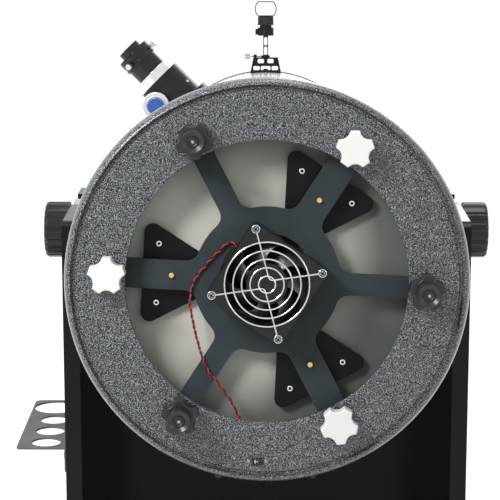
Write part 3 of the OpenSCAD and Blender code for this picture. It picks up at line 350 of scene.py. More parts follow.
# Zinc plate is a pale, slightly cloudy metal
zinc_plate = surface_finish("zinc_plate", "#b4b7ba", "#989ca0", (0.25, 0.4), 1.2, 0.006, metallic=1.0)
cage_nylon = surface_finish("natural_nylon", "#d8d4c8", "#cac5b6", (0.45, 0.6), 0.8, 0.01)
eased("ground_board", black_laminate, 1.2, 3)
eased("base_board", black_laminate, 1.2, 3)
eased("feet", foot_rubber, 1.5, 3)
dress(zinc_plate, "pivot_bolt", "lower_race", "upper_race", "rollers", "board_screws")
dress(cage_nylon, "roller_cage")

# ---------- rocker ----------
# Two side boards and a front board of the same laminate, screwed together on the upper round board.
# Steel rings sit in the side boards' notches, and a rubber block keeps the tube off the front board.

# Painted light: the side boards get a lighter copy of the same black laminate, a little brighter than the
# rest and with a stronger reflection, for the light they catch; the shaded front board keeps the darker one
side_laminate_painted_light = surface_finish("black_laminate_sides_painted_light", "#0b0b0c", "#0f0f10", (0.1, 0.17), 0.7, 0.005,
                               patch=60, IOR=1.25)
eased("left_board", side_laminate_painted_light, 1.2, 3)
eased("right_board", side_laminate_painted_light, 1.2, 3)
eased("front_board", black_laminate, 1.2, 3)
# Turned and ground steel shows fine rings along the cut
ground_steel = surface_finish("ground_steel", "#d4d6d8", "#bcbfc2", (0.16, 0.3), 0.6, 0.004, metallic=1.0,
                              stretch=(8, 1, 1))
eased("bearing_rings", ground_steel, 0.8)
eased("tube_stop", foot_rubber, 1.0)
handle_plastic = surface_finish("moulded_handle", "#151517", "#1b1b1e", (0.38, 0.5), 0.6, 0.03, IOR=1.28)
eased("handle", handle_plastic, 1.0, 3)
black_screw = surface_finish("blackened_screw", "#4a4b4d", "#3a3b3d", (0.3, 0.45), 0.8, 0.006, metallic=0.8)
dress(black_screw, "wood_screws")

# ---------- eyepiece tray ----------
# A bent steel sheet with a dark grey powder coat, punched for three small eyepieces and a large one,
# and screwed through its flange to the left board.

grey_powder_coat = surface_finish("grey_powder_coat", "#66686a", "#5c5e60", (0.45, 0.58), 0.6, 0.02)
eased("eyepiece_tray", grey_powder_coat, 0.35)

# ---------- tube ----------
# Rolled sheet steel with glossy white enamel. Small screws hold the end rings and the brackets.

white_enamel = surface_finish("white_enamel", "#f1f1ef", "#ecece9", (0.16, 0.24), 3.0, 0.006, patch=120,
                              Coat_Weight=0.5, Coat_Roughness=0.05)
dress(white_enamel, "tube")
dress(black_screw, "tube_screws")

# ---------- end rings ----------
# Castings with a rolled bead, sprayed in hammered enamel: black drops that leave a silver net.

TUBE_R = 177.5
TUBE_REAR, TUBE_FRONT = -508, 894
OPENING_R = 128
SKIRT = 24
BEAD_PROUD, BEAD_DEPTH = 6.5, 15
FRONT_RIM = 11


def rounded(outline, radius, steps=4, closed=True):
    """An outline with each corner rounded, as far as its sides allow."""
    result = []
    count = len(outline)
    for i, (x, y) in enumerate(outline):
        corner = Vector((x, y))
        if not closed and i in (0, count - 1):
            result.append(corner)
            continue
        before, after = Vector(outline[i - 1]) - corner, Vector(outline[(i + 1) % count]) - corner
        reach = min(radius, before.length * 0.45, after.length * 0.45)
        a, b = corner + before.normalized() * reach, corner + after.normalized() * reach
        for k in range(steps + 1):
            t = k / steps
            result.append((1 - t) ** 2 * a + 2 * t * (1 - t) * corner + t * t * b)
    return result


def turned(outline, sides=64, joined=True):
    """A turned part from its outline of (radius, height), about the height's own axis."""
    angles = [2 * math.pi * k / sides for k in range(sides)]
    return skin([[(r * math.cos(a), r * math.sin(a), h) for a in angles] for r, h in outline], joined)


FORWARDS = TUBE @ Matrix.Rotation(math.radians(-90), 4, "X")

hammered = bpy.data.materials.new("hammered_enamel")
hammered.use_nodes = True
tree = hammered.node_tree
shader = tree.nodes["Principled BSDF"]
place = add_node(tree, "ShaderNodeTexCoord").outputs["Object"]
# The drops lie about 0.8 mm apart, and the silver gathers in the net between them
DROP = 0.8
drops = add_node(tree, "ShaderNodeTexNoise", {"Vector": place, "Scale": 1000 / DROP, "Detail": 1.0,
                                              "Roughness": 0.5, "Distortion": 0.4})
net = add_node(tree, "ShaderNodeMapRange", {"Value": drops.outputs["Fac"], "From Min": 0.48,
                                            "From Max": 0.65})
hue = add_node(tree, "ShaderNodeMix", {0: net.outputs[0], 6: paint("#07090a"), 7: paint("#a4abaf")},
               data_type="RGBA")
gloss = add_node(tree, "ShaderNodeMapRange", {"Value": net.outputs[0], "To Min": 0.22, "To Max": 0.42})
bump = add_node(tree, "ShaderNodeBump", {"Height": drops.outputs["Fac"], "Distance": 0.0006, "Strength": 0.6})
tree.links.new(hue.outputs[2], shader.inputs["Base Color"])
tree.links.new(gloss.outputs[0], shader.inputs["Roughness"])
tree.links.new(bump.outputs[0], shader.inputs["Normal"])
shader.inputs["Metallic"].default_value = 0.2
shader.inputs["Specular IOR Level"].default_value = 0.3
shader.inputs["Coat Weight"].default_value = 0.5
shader.inputs["Coat Roughness"].default_value = 0.1


rear_outline = rounded([(OPENING_R, -516), (OPENING_R, RING_FACE), (TUBE_R - 4, RING_FACE),
                        (TUBE_R - 4, RING_FACE + 1.5), (TUBE_R - 2, RING_FACE + 1.5)], 0.9, closed=False)
# The bead, from the rim to its widest place
rear_outline += [(TUBE_R + BEAD_PROUD * math.sin(math.radians(a)),
                  TUBE_REAR - 2 - BEAD_DEPTH * math.cos(math.radians(a))) for a in range(0, 91, 6)]
rear_outline += [(TUBE_R + 3.5, -502), (TUBE_R + 2.5, -497), (TUBE_R + 2.5, TUBE_REAR + SKIRT),
                 (TUBE_R + 0.1, TUBE_REAR + SKIRT), (TUBE_R + 0.1, TUBE_REAR), (TUBE_R - 2, TUBE_REAR),
                 (TUBE_R - 2, -516)]
make_piece("rear_ring_cast", [(hammered, turned(rear_outline, 256))], FORWARDS, "optical_tube",
           ["rear_ring"])
front_outline = rounded([(TUBE_R - 6, TUBE_FRONT), (TUBE_R - 6, TUBE_FRONT + FRONT_RIM),
                         (TUBE_R + 1.2, TUBE_FRONT + FRONT_RIM), (TUBE_R + 1.2, TUBE_FRONT - SKIRT),
                         (TUBE_R + 0.1, TUBE_FRONT - SKIRT), (TUBE_R + 0.1, TUBE_FRONT)], 1.1)
make_piece("front_ring_cast", [(hammered, turned(front_outline, 256))], FORWARDS, "optical_tube",
           ["front_ring"])

# ---------- altitude brackets and tension knobs ----------
# Machined aluminium brackets carry the spindles. The tension knobs are moulded, with fluted sides and
# a rounded outer edge, on steel studs.

machined_aluminium = surface_finish("machined_aluminium", "#c4c7ca", "#b0b4b8", (0.25, 0.38), 0.8, 0.006,
                                    metallic=1.0, stretch=(1, 6, 6))
eased("side_brackets", machined_aluminium, 0.8)
gloss_black_plastic = surface_finish("gloss_black_plastic", "#0c0c0e", "#121215", (0.16, 0.24), 0.9, 0.01,
                                     IOR=1.42)


def lofted(outline, levels):
    """A solid from an outline of (angle, radius) and levels of (inset, height)."""
    return skin([[((r - inset) * math.cos(a), (r - inset) * math.sin(a), h) for a, r in outline]
                 for inset, h in levels])


def stud(radius, low, high):
    return turned([(radius, low), (radius, high)], 24, joined=False)


TENSION_R, BOARD_OUTSIDE, FLUTES, SPINDLE_STUD_R = 32.5, 224, 18, 6
FLUTE_R, FLUTE_CIRCLE, FLUTE_STEPS = 2.4, 33.7, 24
fluted = []
for k in range(FLUTES * FLUTE_STEPS):
    from_flute = math.radians(360 / FLUTES * (k / FLUTE_STEPS - k // FLUTE_STEPS - 0.5))
    span = FLUTE_R ** 2 - (FLUTE_CIRCLE * math.sin(from_flute)) ** 2
    edge = FLUTE_CIRCLE * math.cos(from_flute) - math.sqrt(span) if span > 0 else math.inf
    fluted.append((2 * math.pi * k / (FLUTES * FLUTE_STEPS), min(TENSION_R, edge)))
# Levels of the knob: how far its outline is drawn in, and how far out from the board it lies
knob_levels = [(5, 0.5), (4.2, 0.8), (4, 1.4), (4, 5.2), (0.9, 5.3), (0.2, 5.8), (0, 6.6), (0, 29.6),
               (0.3, 31), (1.1, 32.3), (2.4, 33.3), (4.2, 33.8), (7, 34), (20, 34), (20.6, 33.4), (28, 33.2)]
for side_name, turn in (("left", -90), ("right", 90)):
    knob = lofted(fluted, [(inset, BOARD_OUTSIDE + h) for inset, h in knob_levels])
    spindle_stud = stud(SPINDLE_STUD_R, 191, BOARD_OUTSIDE + 0.6)
    make_piece(side_name + "_tension_knob_moulded", [(gloss_black_plastic, knob), (zinc_plate, spindle_stud)],
               TUBE @ Matrix.Rotation(math.radians(turn), 4, "Y"), side_name + "_tension",
               [side_name + "_tension_knob"])

# ---------- mirror cell ----------
# A cast hub with six arms, coated dark grey. Three black steel triangles rock on brass screws and
# carry the mirror on nylon pads, each held by a hollow rivet.

cell_coat = surface_finish("dark_grey_coat", "#3a4346", "#32393c", (0.42, 0.55), 0.5, 0.02, IOR=1.25)
eased("cell_frame", cell_coat, 0.7)
triangle_coat = surface_finish("black_coat", "#0e1011", "#141617", (0.35, 0.48), 0.6, 0.015, IOR=1.22)
eased("support_triangles", triangle_coat, 0.4)
eased("mirror_clips", triangle_coat, 0.4)
dull_brass = surface_finish("turned_brass", "#e2cf86", "#cdb76a", (0.22, 0.34), 0.8, 0.004, metallic=1.0)
dress(dull_brass, "pivot_screws")

# Across the arm and out from the axis, for an arm that points along X
PAD_PLACES = ((100.18, 27.11), (100.18, -27.11), (53.22, 0))
LOCK_ANGLES, PUSH_ANGLES = (57, 177, 297), (117, 237, 357)
TRIANGLE_REAR, PAD_REAR, PAD_FRONT = -494, -491, -488
PAD_R, RIVET_R, RIVET_BORE = 6.5, 2.6, 1.3
rivet = [(RIVET_BORE, TRIANGLE_REAR - 1.2), (RIVET_R, TRIANGLE_REAR - 1.2), (RIVET_R, TRIANGLE_REAR),
         (2, TRIANGLE_REAR), (2, PAD_REAR), (RIVET_BORE, PAD_REAR)]
bright_rivet = surface_finish("plated_rivet", "#e6e8ea", "#d2d5d8", (0.15, 0.28), 0.8, 0.003, metallic=1.0)
pads = []
for arm in LOCK_ANGLES:
    for x, z in PAD_PLACES:
        c, d = math.cos(math.radians(arm)), math.sin(math.radians(arm))
        spot = Vector((x * c - z * d, -(x * d + z * c), 0))
        for finish, outline in (
                (cage_nylon, [(1, PAD_REAR + 0.02), (PAD_R, PAD_REAR + 0.02), (PAD_R, PAD_FRONT),
                              (1, PAD_FRONT)]),
                (bright_rivet, rounded(rivet, 0.35)),
                # Painted shade: a disc of the triangles' black coat closes each rivet's bore, for the shade
                # down the hole
                (triangle_coat, [(0.3, TRIANGLE_REAR), (RIVET_BORE, TRIANGLE_REAR),
                                 (RIVET_BORE, TRIANGLE_REAR + 1), (0.3, TRIANGLE_REAR + 1)])):
            points, faces = turned(outline, 40)
            pads.append((finish, ([p + spot for p in points], faces)))
make_piece("pads_and_rivets", pads, FORWARDS, "optical_tube", ["mirror_pads"])

# ---------- primary mirror ----------
# A round glass plate, ground matt on its back and edge, with an aluminised hollow face in front.

MIRROR_R = 152.4
MIRROR_REAR, MIRROR_FRONT = -488, -452
FOCAL = 1500
ground_glass = surface_finish("ground_glass", "#dcdcd2", "#d2d2c8", (0.5, 0.62), 0.5, 0.01, patch=200)

# Painted shade: the back's colour darkens towards its rim, most to the right and below, for the ring's shadow
# and dark reflections of the ring; it stays lightest round a middle left of and above the axis
tree = ground_glass.node_tree
painted_light_middle, PAINTED_LIGHT_R = TUBE @ Vector((-40, MIRROR_REAR, 14)), 0.152
spot = add_node(tree, "ShaderNodeMapping", {"Vector": tree.nodes["Texture Coordinate"].outputs["Object"],
                                            "Location": painted_light_middle, "Scale": [PAINTED_LIGHT_R] * 3},
                vector_type="TEXTURE")
painted_shade_gradient = add_node(tree, "ShaderNodeTexGradient", {"Vector": spot.outputs[0]}, gradient_type="SPHERICAL")
painted_shade_level = add_node(tree, "ShaderNodeMapRange", {"Value": painted_shade_gradient.outputs["Fac"], "From Min": 0.04, "From Max": 0.48,
                                             "To Min": 0.2, "To Max": 1.0})
shader = tree.nodes["Principled BSDF"]
painted_shade_tint = add_node(tree, "ShaderNodeVectorMath", {0: shader.inputs["Base Color"].links[0].from_socket,
                                               1: painted_shade_level.outputs[0]}, operation="MULTIPLY")
tree.links.new(painted_shade_tint.outputs[0], shader.inputs["Base Color"])
aluminised = surface_finish("aluminised_glass", "#eef0f2", "#e9ecee", (0.01, 0.02), 40, 0.0002, metallic=1.0,
                            patch=300)
back_outline = rounded([(0.5, MIRROR_REAR), (MIRROR_R, MIRROR_REAR), (MIRROR_R, MIRROR_FRONT - 1),
                        (MIRROR_R - 1, MIRROR_FRONT)], 1.2, closed=False)
back = turned(back_outline[:1] + back_outline, 192, joined=False)
FACE_R = MIRROR_R - 1
hollow = [(FACE_R * (1 - k / 24), MIRROR_FRONT - (1 - (1 - k / 24) ** 2) * FACE_R ** 2 / (4 * FOCAL))
          for k in range(24)]
make_piece("primary_mirror_glass", [(ground_glass, back), (aluminised, turned(hollow, 192, joined=False))],
           FORWARDS, "optical_tube", ["primary_mirror"])

# ---------- collimation springs and knobs ----------
# Steel springs hold the cell off the ring. Black knobs with a cupped boss pull the cell against them,
# and flat white star knobs lock it. All six are moulded plastic on steel studs.

KNOB_CIRCLE = 143.5
spring_steel = surface_finish("spring_steel", "#b9bcc0", "#9a9ea2", (0.2, 0.32), 0.8, 0.004, metallic=1.0)
BEHIND = Matrix.Rotation(math.radians(90), 4, "X")


def ring_place(angle):
    """The frame of a knob on the rear ring: X across, Y up and Z out from the ring's face."""
    a = math.radians(angle)
    spot = (KNOB_CIRCLE * math.cos(a), RING_FACE, KNOB_CIRCLE * math.sin(a))
    return TUBE @ Matrix.Translation(spot) @ BEHIND


def star(radius, turn, count=200):
    """Five flat-ended lobes with a round hollow between each two."""
    hollow_r, hollow_circle = 0.52 * radius, 1.29 * radius
    outline = []
    for k in range(count):
        a = 2 * math.pi * k / count
        lobe = (math.degrees(a) - turn + 36) % 72 - 36
        flat_end = 0.985 * radius / math.cos(math.radians(lobe))
        from_hollow = math.radians(36 - abs(lobe))
        span = hollow_r ** 2 - (hollow_circle * math.sin(from_hollow)) ** 2
        hollow_edge = hollow_circle * math.cos(from_hollow) - math.sqrt(span) if span > 0 else 3 * radius
        outline.append((a, (flat_end ** -30 + hollow_edge ** -30) ** (-1 / 30)))
    return outline


SPRING_WIRE, SPRING_R, SPRING_LEN, SPRING_TURNS = 1.6, 6.5, 12, 4
STAR_R, STAR_LOW, STAR_HIGH, BOSS_HIGH = 17, 4.3, 20.3, 40
star_levels = [(1.2, STAR_LOW), (0.4, STAR_LOW + 0.4), (0, STAR_LOW + 1.2), (0, STAR_HIGH - 1.6),
               (0.3, STAR_HIGH - 0.7), (0.8, STAR_HIGH - 0.2), (1.6, STAR_HIGH)]
white_plastic = surface_finish("moulded_white", "#fafaf8", "#f5f5f2", (0.28, 0.36), 1.0, 0.01, patch=60)
blue_black_plastic = surface_finish("moulded_blue_black", "#1a1d22", "#20242a", (0.3, 0.4), 0.8, 0.012)
helix = []
for k in range(SPRING_TURNS * 24 + 1):
    a = 2 * math.pi * k / 24
    rise = 0.1 + SPRING_WIRE / 2 + (SPRING_LEN - SPRING_WIRE - 0.2) * k / (SPRING_TURNS * 24)
    helix.append(Vector((SPRING_R * math.cos(a), SPRING_R * math.sin(a), RING_FACE - CELL_REAR + rise)))
springs = []
for angle in PUSH_ANGLES:
    points, faces = skin(tube_rings(helix, SPRING_WIRE / 2, 10))
    springs.append((spring_steel, ([TUBE.inverted() @ ring_place(angle) @ p for p in points], faces)))
make_piece("collimation_spring_coils", springs, TUBE, "optical_tube", ["collimation_springs"])

foot = turned(rounded([(1, 0.3), (9, 0.3), (9, 4.5), (1, 4.5)], 0.5), 48)
boss = turned(rounded([(10.2, STAR_HIGH - 1), (10.2, BOSS_HIGH), (9.2, BOSS_HIGH), (4.9, BOSS_HIGH - 2.8),
                       (4.7, BOSS_HIGH - 1.7), (3.9, BOSS_HIGH - 1.6), (3.0, BOSS_HIGH - 2.8),
                       (0.4, BOSS_HIGH - 2.8)], 0.5, closed=False), 64, joined=False)
stud_end = turned([(1.2, BOSS_HIGH - 3.2), (1.2, BOSS_HIGH - 2.2), (0.6, BOSS_HIGH - 1.9)], 20, joined=False)
for k, (angle, turn) in enumerate(zip(PUSH_ANGLES, (-12, 20, 90))):
    make_piece(f"collimation_knob_{k + 1}_moulded", [
        (blue_black_plastic, lofted(star(STAR_R, turn), star_levels)),
        (blue_black_plastic, boss), (zinc_plate, stud_end), (blue_black_plastic, foot),
        (zinc_plate, stud(3, -26, 1))],
        ring_place(angle), f"collimation_{k + 1}", [f"collimation_knob_{k + 1}"])
for k, (angle, turn) in enumerate(zip(LOCK_ANGLES, (90, 90, 60))):
    make_piece(f"lock_knob_{k + 1}_moulded", [
        (white_plastic, lofted(star(STAR_R, turn), star_levels)),
        (white_plastic, foot), (zinc_plate, stud(3, -17.7, 1))],
        ring_place(angle), f"lock_{k + 1}", [f"lock_knob_{k + 1}"])

# ---------- cooling fan ----------
# A square moulded fan behind the mirror cell, with seven swept blades. A bright plated guard of five
# wire rings on two bent wires is screwed over it.

FAN_DEPTH, FAN_HOLES, FAN_REAR, FAN_BORE = 32, 71.5, -536, 38.5
FAN_TURN = 33.6
HUB_R, BLADES = 19, 7
FAN = TUBE @ Matrix.Rotation(math.radians(FAN_TURN), 4, "Y") @ Matrix.Translation((0, FAN_REAR, 0)) @ BEHIND
fan_plastic = surface_finish("fan_plastic", "#0e0f11", "#141517", (0.18, 0.28), 0.8, 0.01, IOR=1.42)
eased("fan_frame", fan_plastic, 0.9, 3)


def blade(angle):
    """One swept blade, pitched from the hub's rear edge to its front."""
    rings = []
    for i in range(9):
        t = i / 8
        r = HUB_R - 1 + (FAN_BORE - 1.4 - HUB_R + 1) * t
        upper, lower = [], []
        for j in range(9):
            s = j / 8 - 0.5
            a = math.radians(angle - 26 * t * t + s * (57 - 6 * t))
            z = -FAN_DEPTH / 2 + 1.4 - s * (21 - 4 * t) + 1.6 * math.cos(math.pi * s)
            thick = 1.5 * (1 - 0.5 * t) * math.cos(math.pi * s * 0.85) + 0.2
            upper.append((r * math.cos(a), r * math.sin(a), z + thick / 2))
            lower.append((r * math.cos(a), r * math.sin(a), z - thick / 2))
        rings.append(upper + lower[::-1])
    return skin(rings)


HUB_LOW = -FAN_DEPTH + 4.3
hub_outline = rounded([(2, HUB_LOW), (HUB_R, HUB_LOW), (HUB_R, -1.5), (1, -1.5)], 1.4, closed=False)
# Painted reflection: the blades get a lighter, bluer grey than the black plastic of the hub and frame, for
# the bright reflections they show
blade_plastic_painted_reflection = surface_finish("blade_plastic_painted_reflection", "#2a2f34", "#353b41", (0.2, 0.3), 0.8, 0.006, IOR=1.8)
rotor = [(fan_plastic, turned(hub_outline, 64, joined=False)),
         (zinc_plate, stud(2, HUB_LOW - 3.8, HUB_LOW + 0.7))]
rotor += [(blade_plastic_painted_reflection, blade(360 / BLADES * k)) for k in range(BLADES)]
make_piece("fan_rotor_moulded", rotor, FAN, "rotor", ["fan_rotor"])

GUARD_WIRE, GUARD_RINGS, GUARD_R, EYELET_R, ELBOW = 1.6, 5, 38, 3.2, 4
WIRE_UP, EYELET_UP, RING_UP = 1.28, 0.8, 2.16
bright_plate = surface_finish("bright_plate", "#d9dcdf", "#c3c7ca", (0.1, 0.2), 2.0, 0.002, metallic=1.0)


def circle_line(radius, middle, height, count):
    return [Vector((middle[0] + radius * math.cos(2 * math.pi * k / count),
                    middle[1] + radius * math.sin(2 * math.pi * k / count), height)) for k in range(count)]


def wire_ring(radius, middle, height, count):
    line = circle_line(radius, middle, height, count)
    return bright_plate, skin(tube_rings(line, GUARD_WIRE / 2, 10, looped=True), joined=True)


guard = [wire_ring(GUARD_R * k / GUARD_RINGS, (0, 0), RING_UP, 24 * k) for k in range(1, GUARD_RINGS + 1)]
for up in (-1, 1):
    bend = [(0, up * ELBOW)]
    for across in (-1, 1):
        corner = Vector((across * FAN_HOLES / 2, up * FAN_HOLES / 2))
        guard.append(wire_ring(EYELET_R, corner, EYELET_UP, 32))
        end = corner + (Vector((0, up * ELBOW)) - corner).normalized() * EYELET_R
        bend.insert(0 if across < 0 else 2, (end.x, end.y))
    wire_line = [Vector((p.x, p.y, WIRE_UP)) for p in rounded(bend, 4, 8, False)]
    guard.append((bright_plate, skin(tube_rings(wire_line, GUARD_WIRE / 2, 10))))
make_piece("fan_guard_wires", guard, FAN, "optical_tube", ["fan_guard"])


def cross_outline(arm, width, sides=48):
    """The outline of a cross recess."""
    outline = []
    for k in range(sides):
        a = 2 * math.pi * k / sides
        c, s = max(abs(math.cos(a)), 1e-6), max(abs(math.sin(a)), 1e-6)
        outline.append((a, max(min(arm / c, width / s), min(width / c, arm / s))))
    return outline


def cross_head(radius, height, low=0.0):
    """A domed screw head with a cross recess, from its flat underside at low."""
    sides = 48
    recess = cross_outline(radius * 0.66, radius * 0.19, sides)
    rings = []
    for r, h in ((radius, 0), (radius, height * 0.3), (radius * 0.9, height * 0.65), (radius * 0.7, height)):
        rings.append([(r * math.cos(2 * math.pi * k / sides), r * math.sin(2 * math.pi * k / sides), low + h)
                      for k in range(sides)])
    rings += [[(r * share * math.cos(a), r * share * math.sin(a), low + h) for a, r in recess]
              for share, h in ((1, height), (0.75, height * 0.2))]
    return skin(rings)


plated_screw = surface_finish("plated_screw", "#b6b9bc", "#9da1a5", (0.2, 0.34), 0.8, 0.004, metallic=1.0)
screws = []
for across in (-1, 1):
    for up in (-1, 1):
        corner = Vector((across * FAN_HOLES / 2, up * FAN_HOLES / 2, 0))
        shadow = lofted(cross_outline(1.5, 0.43), [(0, 2.6), (0, 3)])
        for finish, (points, faces) in ((plated_screw, cross_head(3.0, 2, 2.18)),
                                        (plated_screw, stud(2, -FAN_DEPTH - 6.9, 2.2)),
                                        (triangle_coat, shadow)):
            screws.append((finish, ([p + corner for p in points], faces)))
# The power socket's two screws are pieces of the same set
JACK_SCREW = 7.9
to_fan = FAN.inverted() @ TUBE @ Matrix.Translation(JACK) @ BEHIND
for across in (-JACK_SCREW, JACK_SCREW):
    for points, faces in (cross_head(2.1, 1.4), stud(1.2, -9, 0.1)):
        screws.append((plated_screw, ([to_fan @ (p + Vector((across, 0, 0))) for p in points], faces)))
make_piece("fan_screw_heads", screws, FAN, "optical_tube", ["fan_screws"])

# ---------- power socket ----------
# A moulded socket with a steel pin, screwed to the rear ring's face.

eased("power_jack", gloss_black_plastic, 0.3)
contact = [[(x, y * spread, h) for x, y in ((-3.6, -1), (-1.5, -1), (-1.5, 1), (-3.6, 1))]
           for spread, h in ((2.1, 0.2), (2.1, 1.85), (1.8, 1.95))]
pin = turned([(0.95, 0.3), (0.95, 1.5), (0.6, 1.9)], 20, joined=False)
make_piece("power_jack_pin", [(bright_plate, pin), (bright_plate, skin(contact))],
           TUBE @ Matrix.Translation(JACK) @ BEHIND, "optical_tube")

# ---------- spider and secondary mirror ----------
# Four thin steel vanes hold a turned hub on the tube's axis. The elliptical mirror is cemented to a
# cylinder that is cut at 45 degrees, and three screws tilt it.

eased("spider", triangle_coat, 0.25, 1)
dress(plated_screw, "spider_screws")
black_anodised = surface_finish("black_anodised", "#0e0f11", "#131417", (0.25, 0.33), 0.7, 0.004, IOR=1.38)
eased("secondary_holder", black_anodised, 0.6)
dress(aluminised, "secondary_mirror")

# ---------- focuser ----------
# A turned aluminium body, anodised black, on a saddle that fits the tube. A plated drawtube slides in
# it and carries a black extension with an adapter, and two thumbscrews clamp what goes in.

FOCUS_Y, FOCUSER_ANGLE = 755, 135
FOCUSER = TUBE @ Matrix.Rotation(math.radians(-FOCUSER_ANGLE), 4, "Y") @ Matrix.Translation((0, FOCUS_Y, 0))
OUTWARDS = FOCUSER @ Matrix.Rotation(math.radians(90), 4, "Y")
DRAW_TOP, COLLAR_LOW, COLLAR_HIGH, ADAPTER_TOP = 250, 272, 291, 303
DRAW_R, BARREL_R, COLLAR_R, ADAPTER_R, EYEPIECE_R = 27, 25.4, 28, 18.5, 15.9
# The set screw: how far up the body it sits, and how far round from the body's side
SET_SCREW_UP, SET_SCREW_TURN = 201, 146.4
eased("focuser_body", black_anodised, 0.9, 3)
set_screw = turned([(2.5, 35), (2.5, 36.3), (2.1, 36.8), (1.1, 36.8), (1, 36.1)], 32, joined=False)
turn_round = Matrix.Rotation(math.radians(SET_SCREW_TURN), 4, "X")
make_piece("focuser_set_screw", [(bright_plate, set_screw)],
           FOCUSER @ Matrix.Translation((SET_SCREW_UP, 0, 0)) @ turn_round, "optical_tube")
satin_chrome = surface_finish("satin_chrome", "#e4e6e8", "#d5d8da", (0.12, 0.22), 1.0, 0.003, metallic=1.0)
DRAW_LEN = 74.5
drawtube = rounded([(BARREL_R + 0.1, DRAW_TOP - DRAW_LEN), (DRAW_R, DRAW_TOP - DRAW_LEN), (DRAW_R, DRAW_TOP),
                    (BARREL_R + 0.1, DRAW_TOP)], 0.6)
make_piece("drawtube_plated", [(satin_chrome, turned(drawtube, 96))], OUTWARDS, "draw",
           ["drawtube"])
extension = rounded([(BARREL_R - 2, DRAW_TOP - 20), (BARREL_R, DRAW_TOP - 20), (BARREL_R, COLLAR_LOW),
                     (COLLAR_R, COLLAR_LOW), (COLLAR_R, COLLAR_LOW + 4.5), (COLLAR_R - 0.8, COLLAR_LOW + 5),
                     (COLLAR_R - 0.8, COLLAR_LOW + 9), (COLLAR_R, COLLAR_LOW + 9.5), (COLLAR_R, COLLAR_HIGH),
                     (BARREL_R - 0.9, COLLAR_HIGH), (BARREL_R - 0.9, COLLAR_LOW - 3),
                     (BARREL_R - 2, COLLAR_LOW - 3)], 0.5, 3)
bright_anodised = surface_finish("bright_black_anodised", "#0c0d0f", "#111215", (0.08, 0.13), 0.7, 0.003,
                                 IOR=1.45)
adapter = rounded([(EYEPIECE_R, COLLAR_LOW - 2), (BARREL_R - 1, COLLAR_LOW - 2), (BARREL_R - 1, COLLAR_HIGH),
                   (COLLAR_R - 0.5, COLLAR_HIGH), (COLLAR_R - 0.5, COLLAR_HIGH + 2),
                   (ADAPTER_R, COLLAR_HIGH + 2), (ADAPTER_R, ADAPTER_TOP), (EYEPIECE_R, ADAPTER_TOP)], 0.6, 3)
for node_name, outline in (("extension_tube", extension), ("eyepiece_adapter", adapter)):
    make_piece(node_name + "_turned", [(bright_anodised, turned(outline, 96))], OUTWARDS, "draw",
               [node_name])


def knurled(radius, ribs, cut):
    """The outline of an edge with fine straight ribs."""
    count = ribs * 6
    return [(2 * math.pi * k / count, radius - cut * (1 - math.cos(2 * math.pi * k * ribs / count)) / 2)
            for k in range(count)]


for k, angle in enumerate((150, 250)):
    place = (FOCUSER @ Matrix.Rotation(math.radians(angle), 4, "X")
             @ Matrix.Translation((COLLAR_LOW + 8, 0, 0)) @ Matrix.Rotation(math.radians(-90), 4, "X"))
    head = [(0.6, COLLAR_R + 3), (0, COLLAR_R + 3.6), (0, COLLAR_R + 10.4), (0.6, COLLAR_R + 11)]
    make_piece(f"eyepiece_screw_{k + 1}_knurled", [(bright_plate, lofted(knurled(5, 28, 0.5), head)),
                                                   (bright_plate, stud(2, BARREL_R - 0.8, COLLAR_R + 4))],
               place, f"clamp_screw_{k + 1}", [f"eyepiece_screw_{k + 1}"])

SHAFT_UP, SHAFT_OFF, KNOB_START = 208.55, 30.1, 38
SHAFT = FOCUSER @ Matrix.Translation((SHAFT_UP, 0, SHAFT_OFF)) @ BEHIND
silver_anodised = surface_finish("silver_anodised", "#dfe1e3", "#cfd2d5", (0.2, 0.3), 0.8, 0.004,
                                 metallic=0.9)
blue_anodised = surface_finish("blue_anodised", "#4a6cb4", "#4163a8", (0.18, 0.28), 0.8, 0.004, metallic=0.7)


def focus_wheel(side):
    """A knurled wheel from the body outwards, with a turned step on its outer face."""
    low, high = KNOB_START, KNOB_START + 13
    levels = [(1.0, low), (0.2, low + 0.5), (0, low + 1.2), (0, high - 1.2), (0.3, high - 0.5), (1.2, high)]
    wheel = lofted(knurled(21, 44, 0.8), [(inset, side * h) for inset, h in levels])
    step = turned(rounded([(16, side * (high - 1)), (15, side * (high + 1.5)), (3, side * (high + 1.5))], 0.6,
                          closed=False), 64, joined=False)
    return [(silver_anodised, wheel), (silver_anodised, step)]


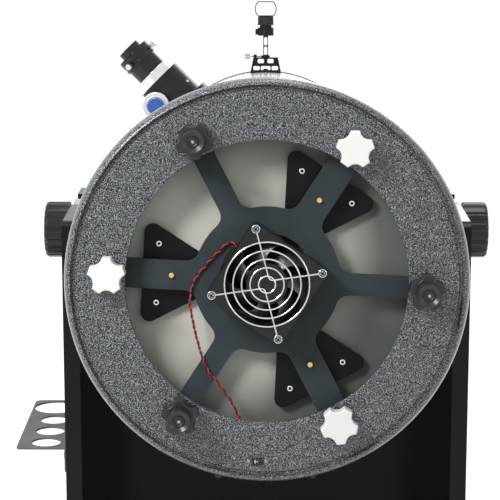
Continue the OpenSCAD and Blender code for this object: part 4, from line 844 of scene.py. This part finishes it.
shaft = (silver_anodised, stud(3, -KNOB_START, KNOB_START))
make_piece("focus_knob_turned", focus_wheel(1) + focus_wheel(-1) + [shaft],
           SHAFT, "coarse_focus", ["focus_knob"])
fine_levels = [(0.9, 53), (0, 53.8), (0, 63.6), (0.3, 64.4), (1.2, 65), (4, 65), (4.6, 64.4), (10, 64.4)]
make_piece("fine_knob_turned", [(blue_anodised, lofted(knurled(13.5, 36, 0.6), fine_levels)),
                                (bright_plate, stud(2.5, 42, 54))],
           SHAFT, "fine_focus", ["fine_knob"])

# ---------- finder ----------
# A moulded reflex finder on a slotted shoe: a slim post, a ribbed dial and a thin window in a wire-like
# frame. A plated thumbscrew clamps it in the shoe.

finder_plastic = surface_finish("finder_plastic", "#121315", "#18191c", (0.26, 0.38), 0.6, 0.012, IOR=1.28)
dial_plastic = surface_finish("dial_plastic", "#292c30", "#313438", (0.38, 0.5), 0.6, 0.015, IOR=1.28)
eased("finder_shoe", finder_plastic, 0.5)
eased("finder_body", finder_plastic, 0.4)
eased("finder_dial", dial_plastic, 0.3)
FINDER = TUBE @ Matrix.Translation((0, 700, 177.5))
thumb_place = FINDER @ Matrix.Translation((0, 0, 24.3)) @ Matrix.Rotation(math.radians(-90), 4, "Y")
make_piece("shoe_thumbscrew_knurled", [
    (bright_plate, lofted(knurled(4.5, 26, 0.5), [(0.5, 24), (0, 24.5), (0, 31.5), (0.5, 32)])),
    (bright_plate, stud(1.2, 6.7, 25))], thumb_place, "shoe_screw", ["shoe_thumbscrew"])
coated_glass = bpy.data.materials.new("coated_glass")
coated_glass.use_nodes = True
shader = coated_glass.node_tree.nodes["Principled BSDF"]
shader.inputs["Base Color"].default_value = paint("#fdfefe")
shader.inputs["Transmission Weight"].default_value = 1.0
shader.inputs["IOR"].default_value = 1.5
smudge = add_node(coated_glass.node_tree, "ShaderNodeTexNoise", {"Scale": 200.0})
haze = add_node(coated_glass.node_tree, "ShaderNodeMapRange", {"Value": smudge.outputs["Fac"], "To Min": 0.02,
                                                              "To Max": 0.06})
coated_glass.node_tree.links.new(haze.outputs[0], shader.inputs["Roughness"])
dress(coated_glass, "finder_lens")
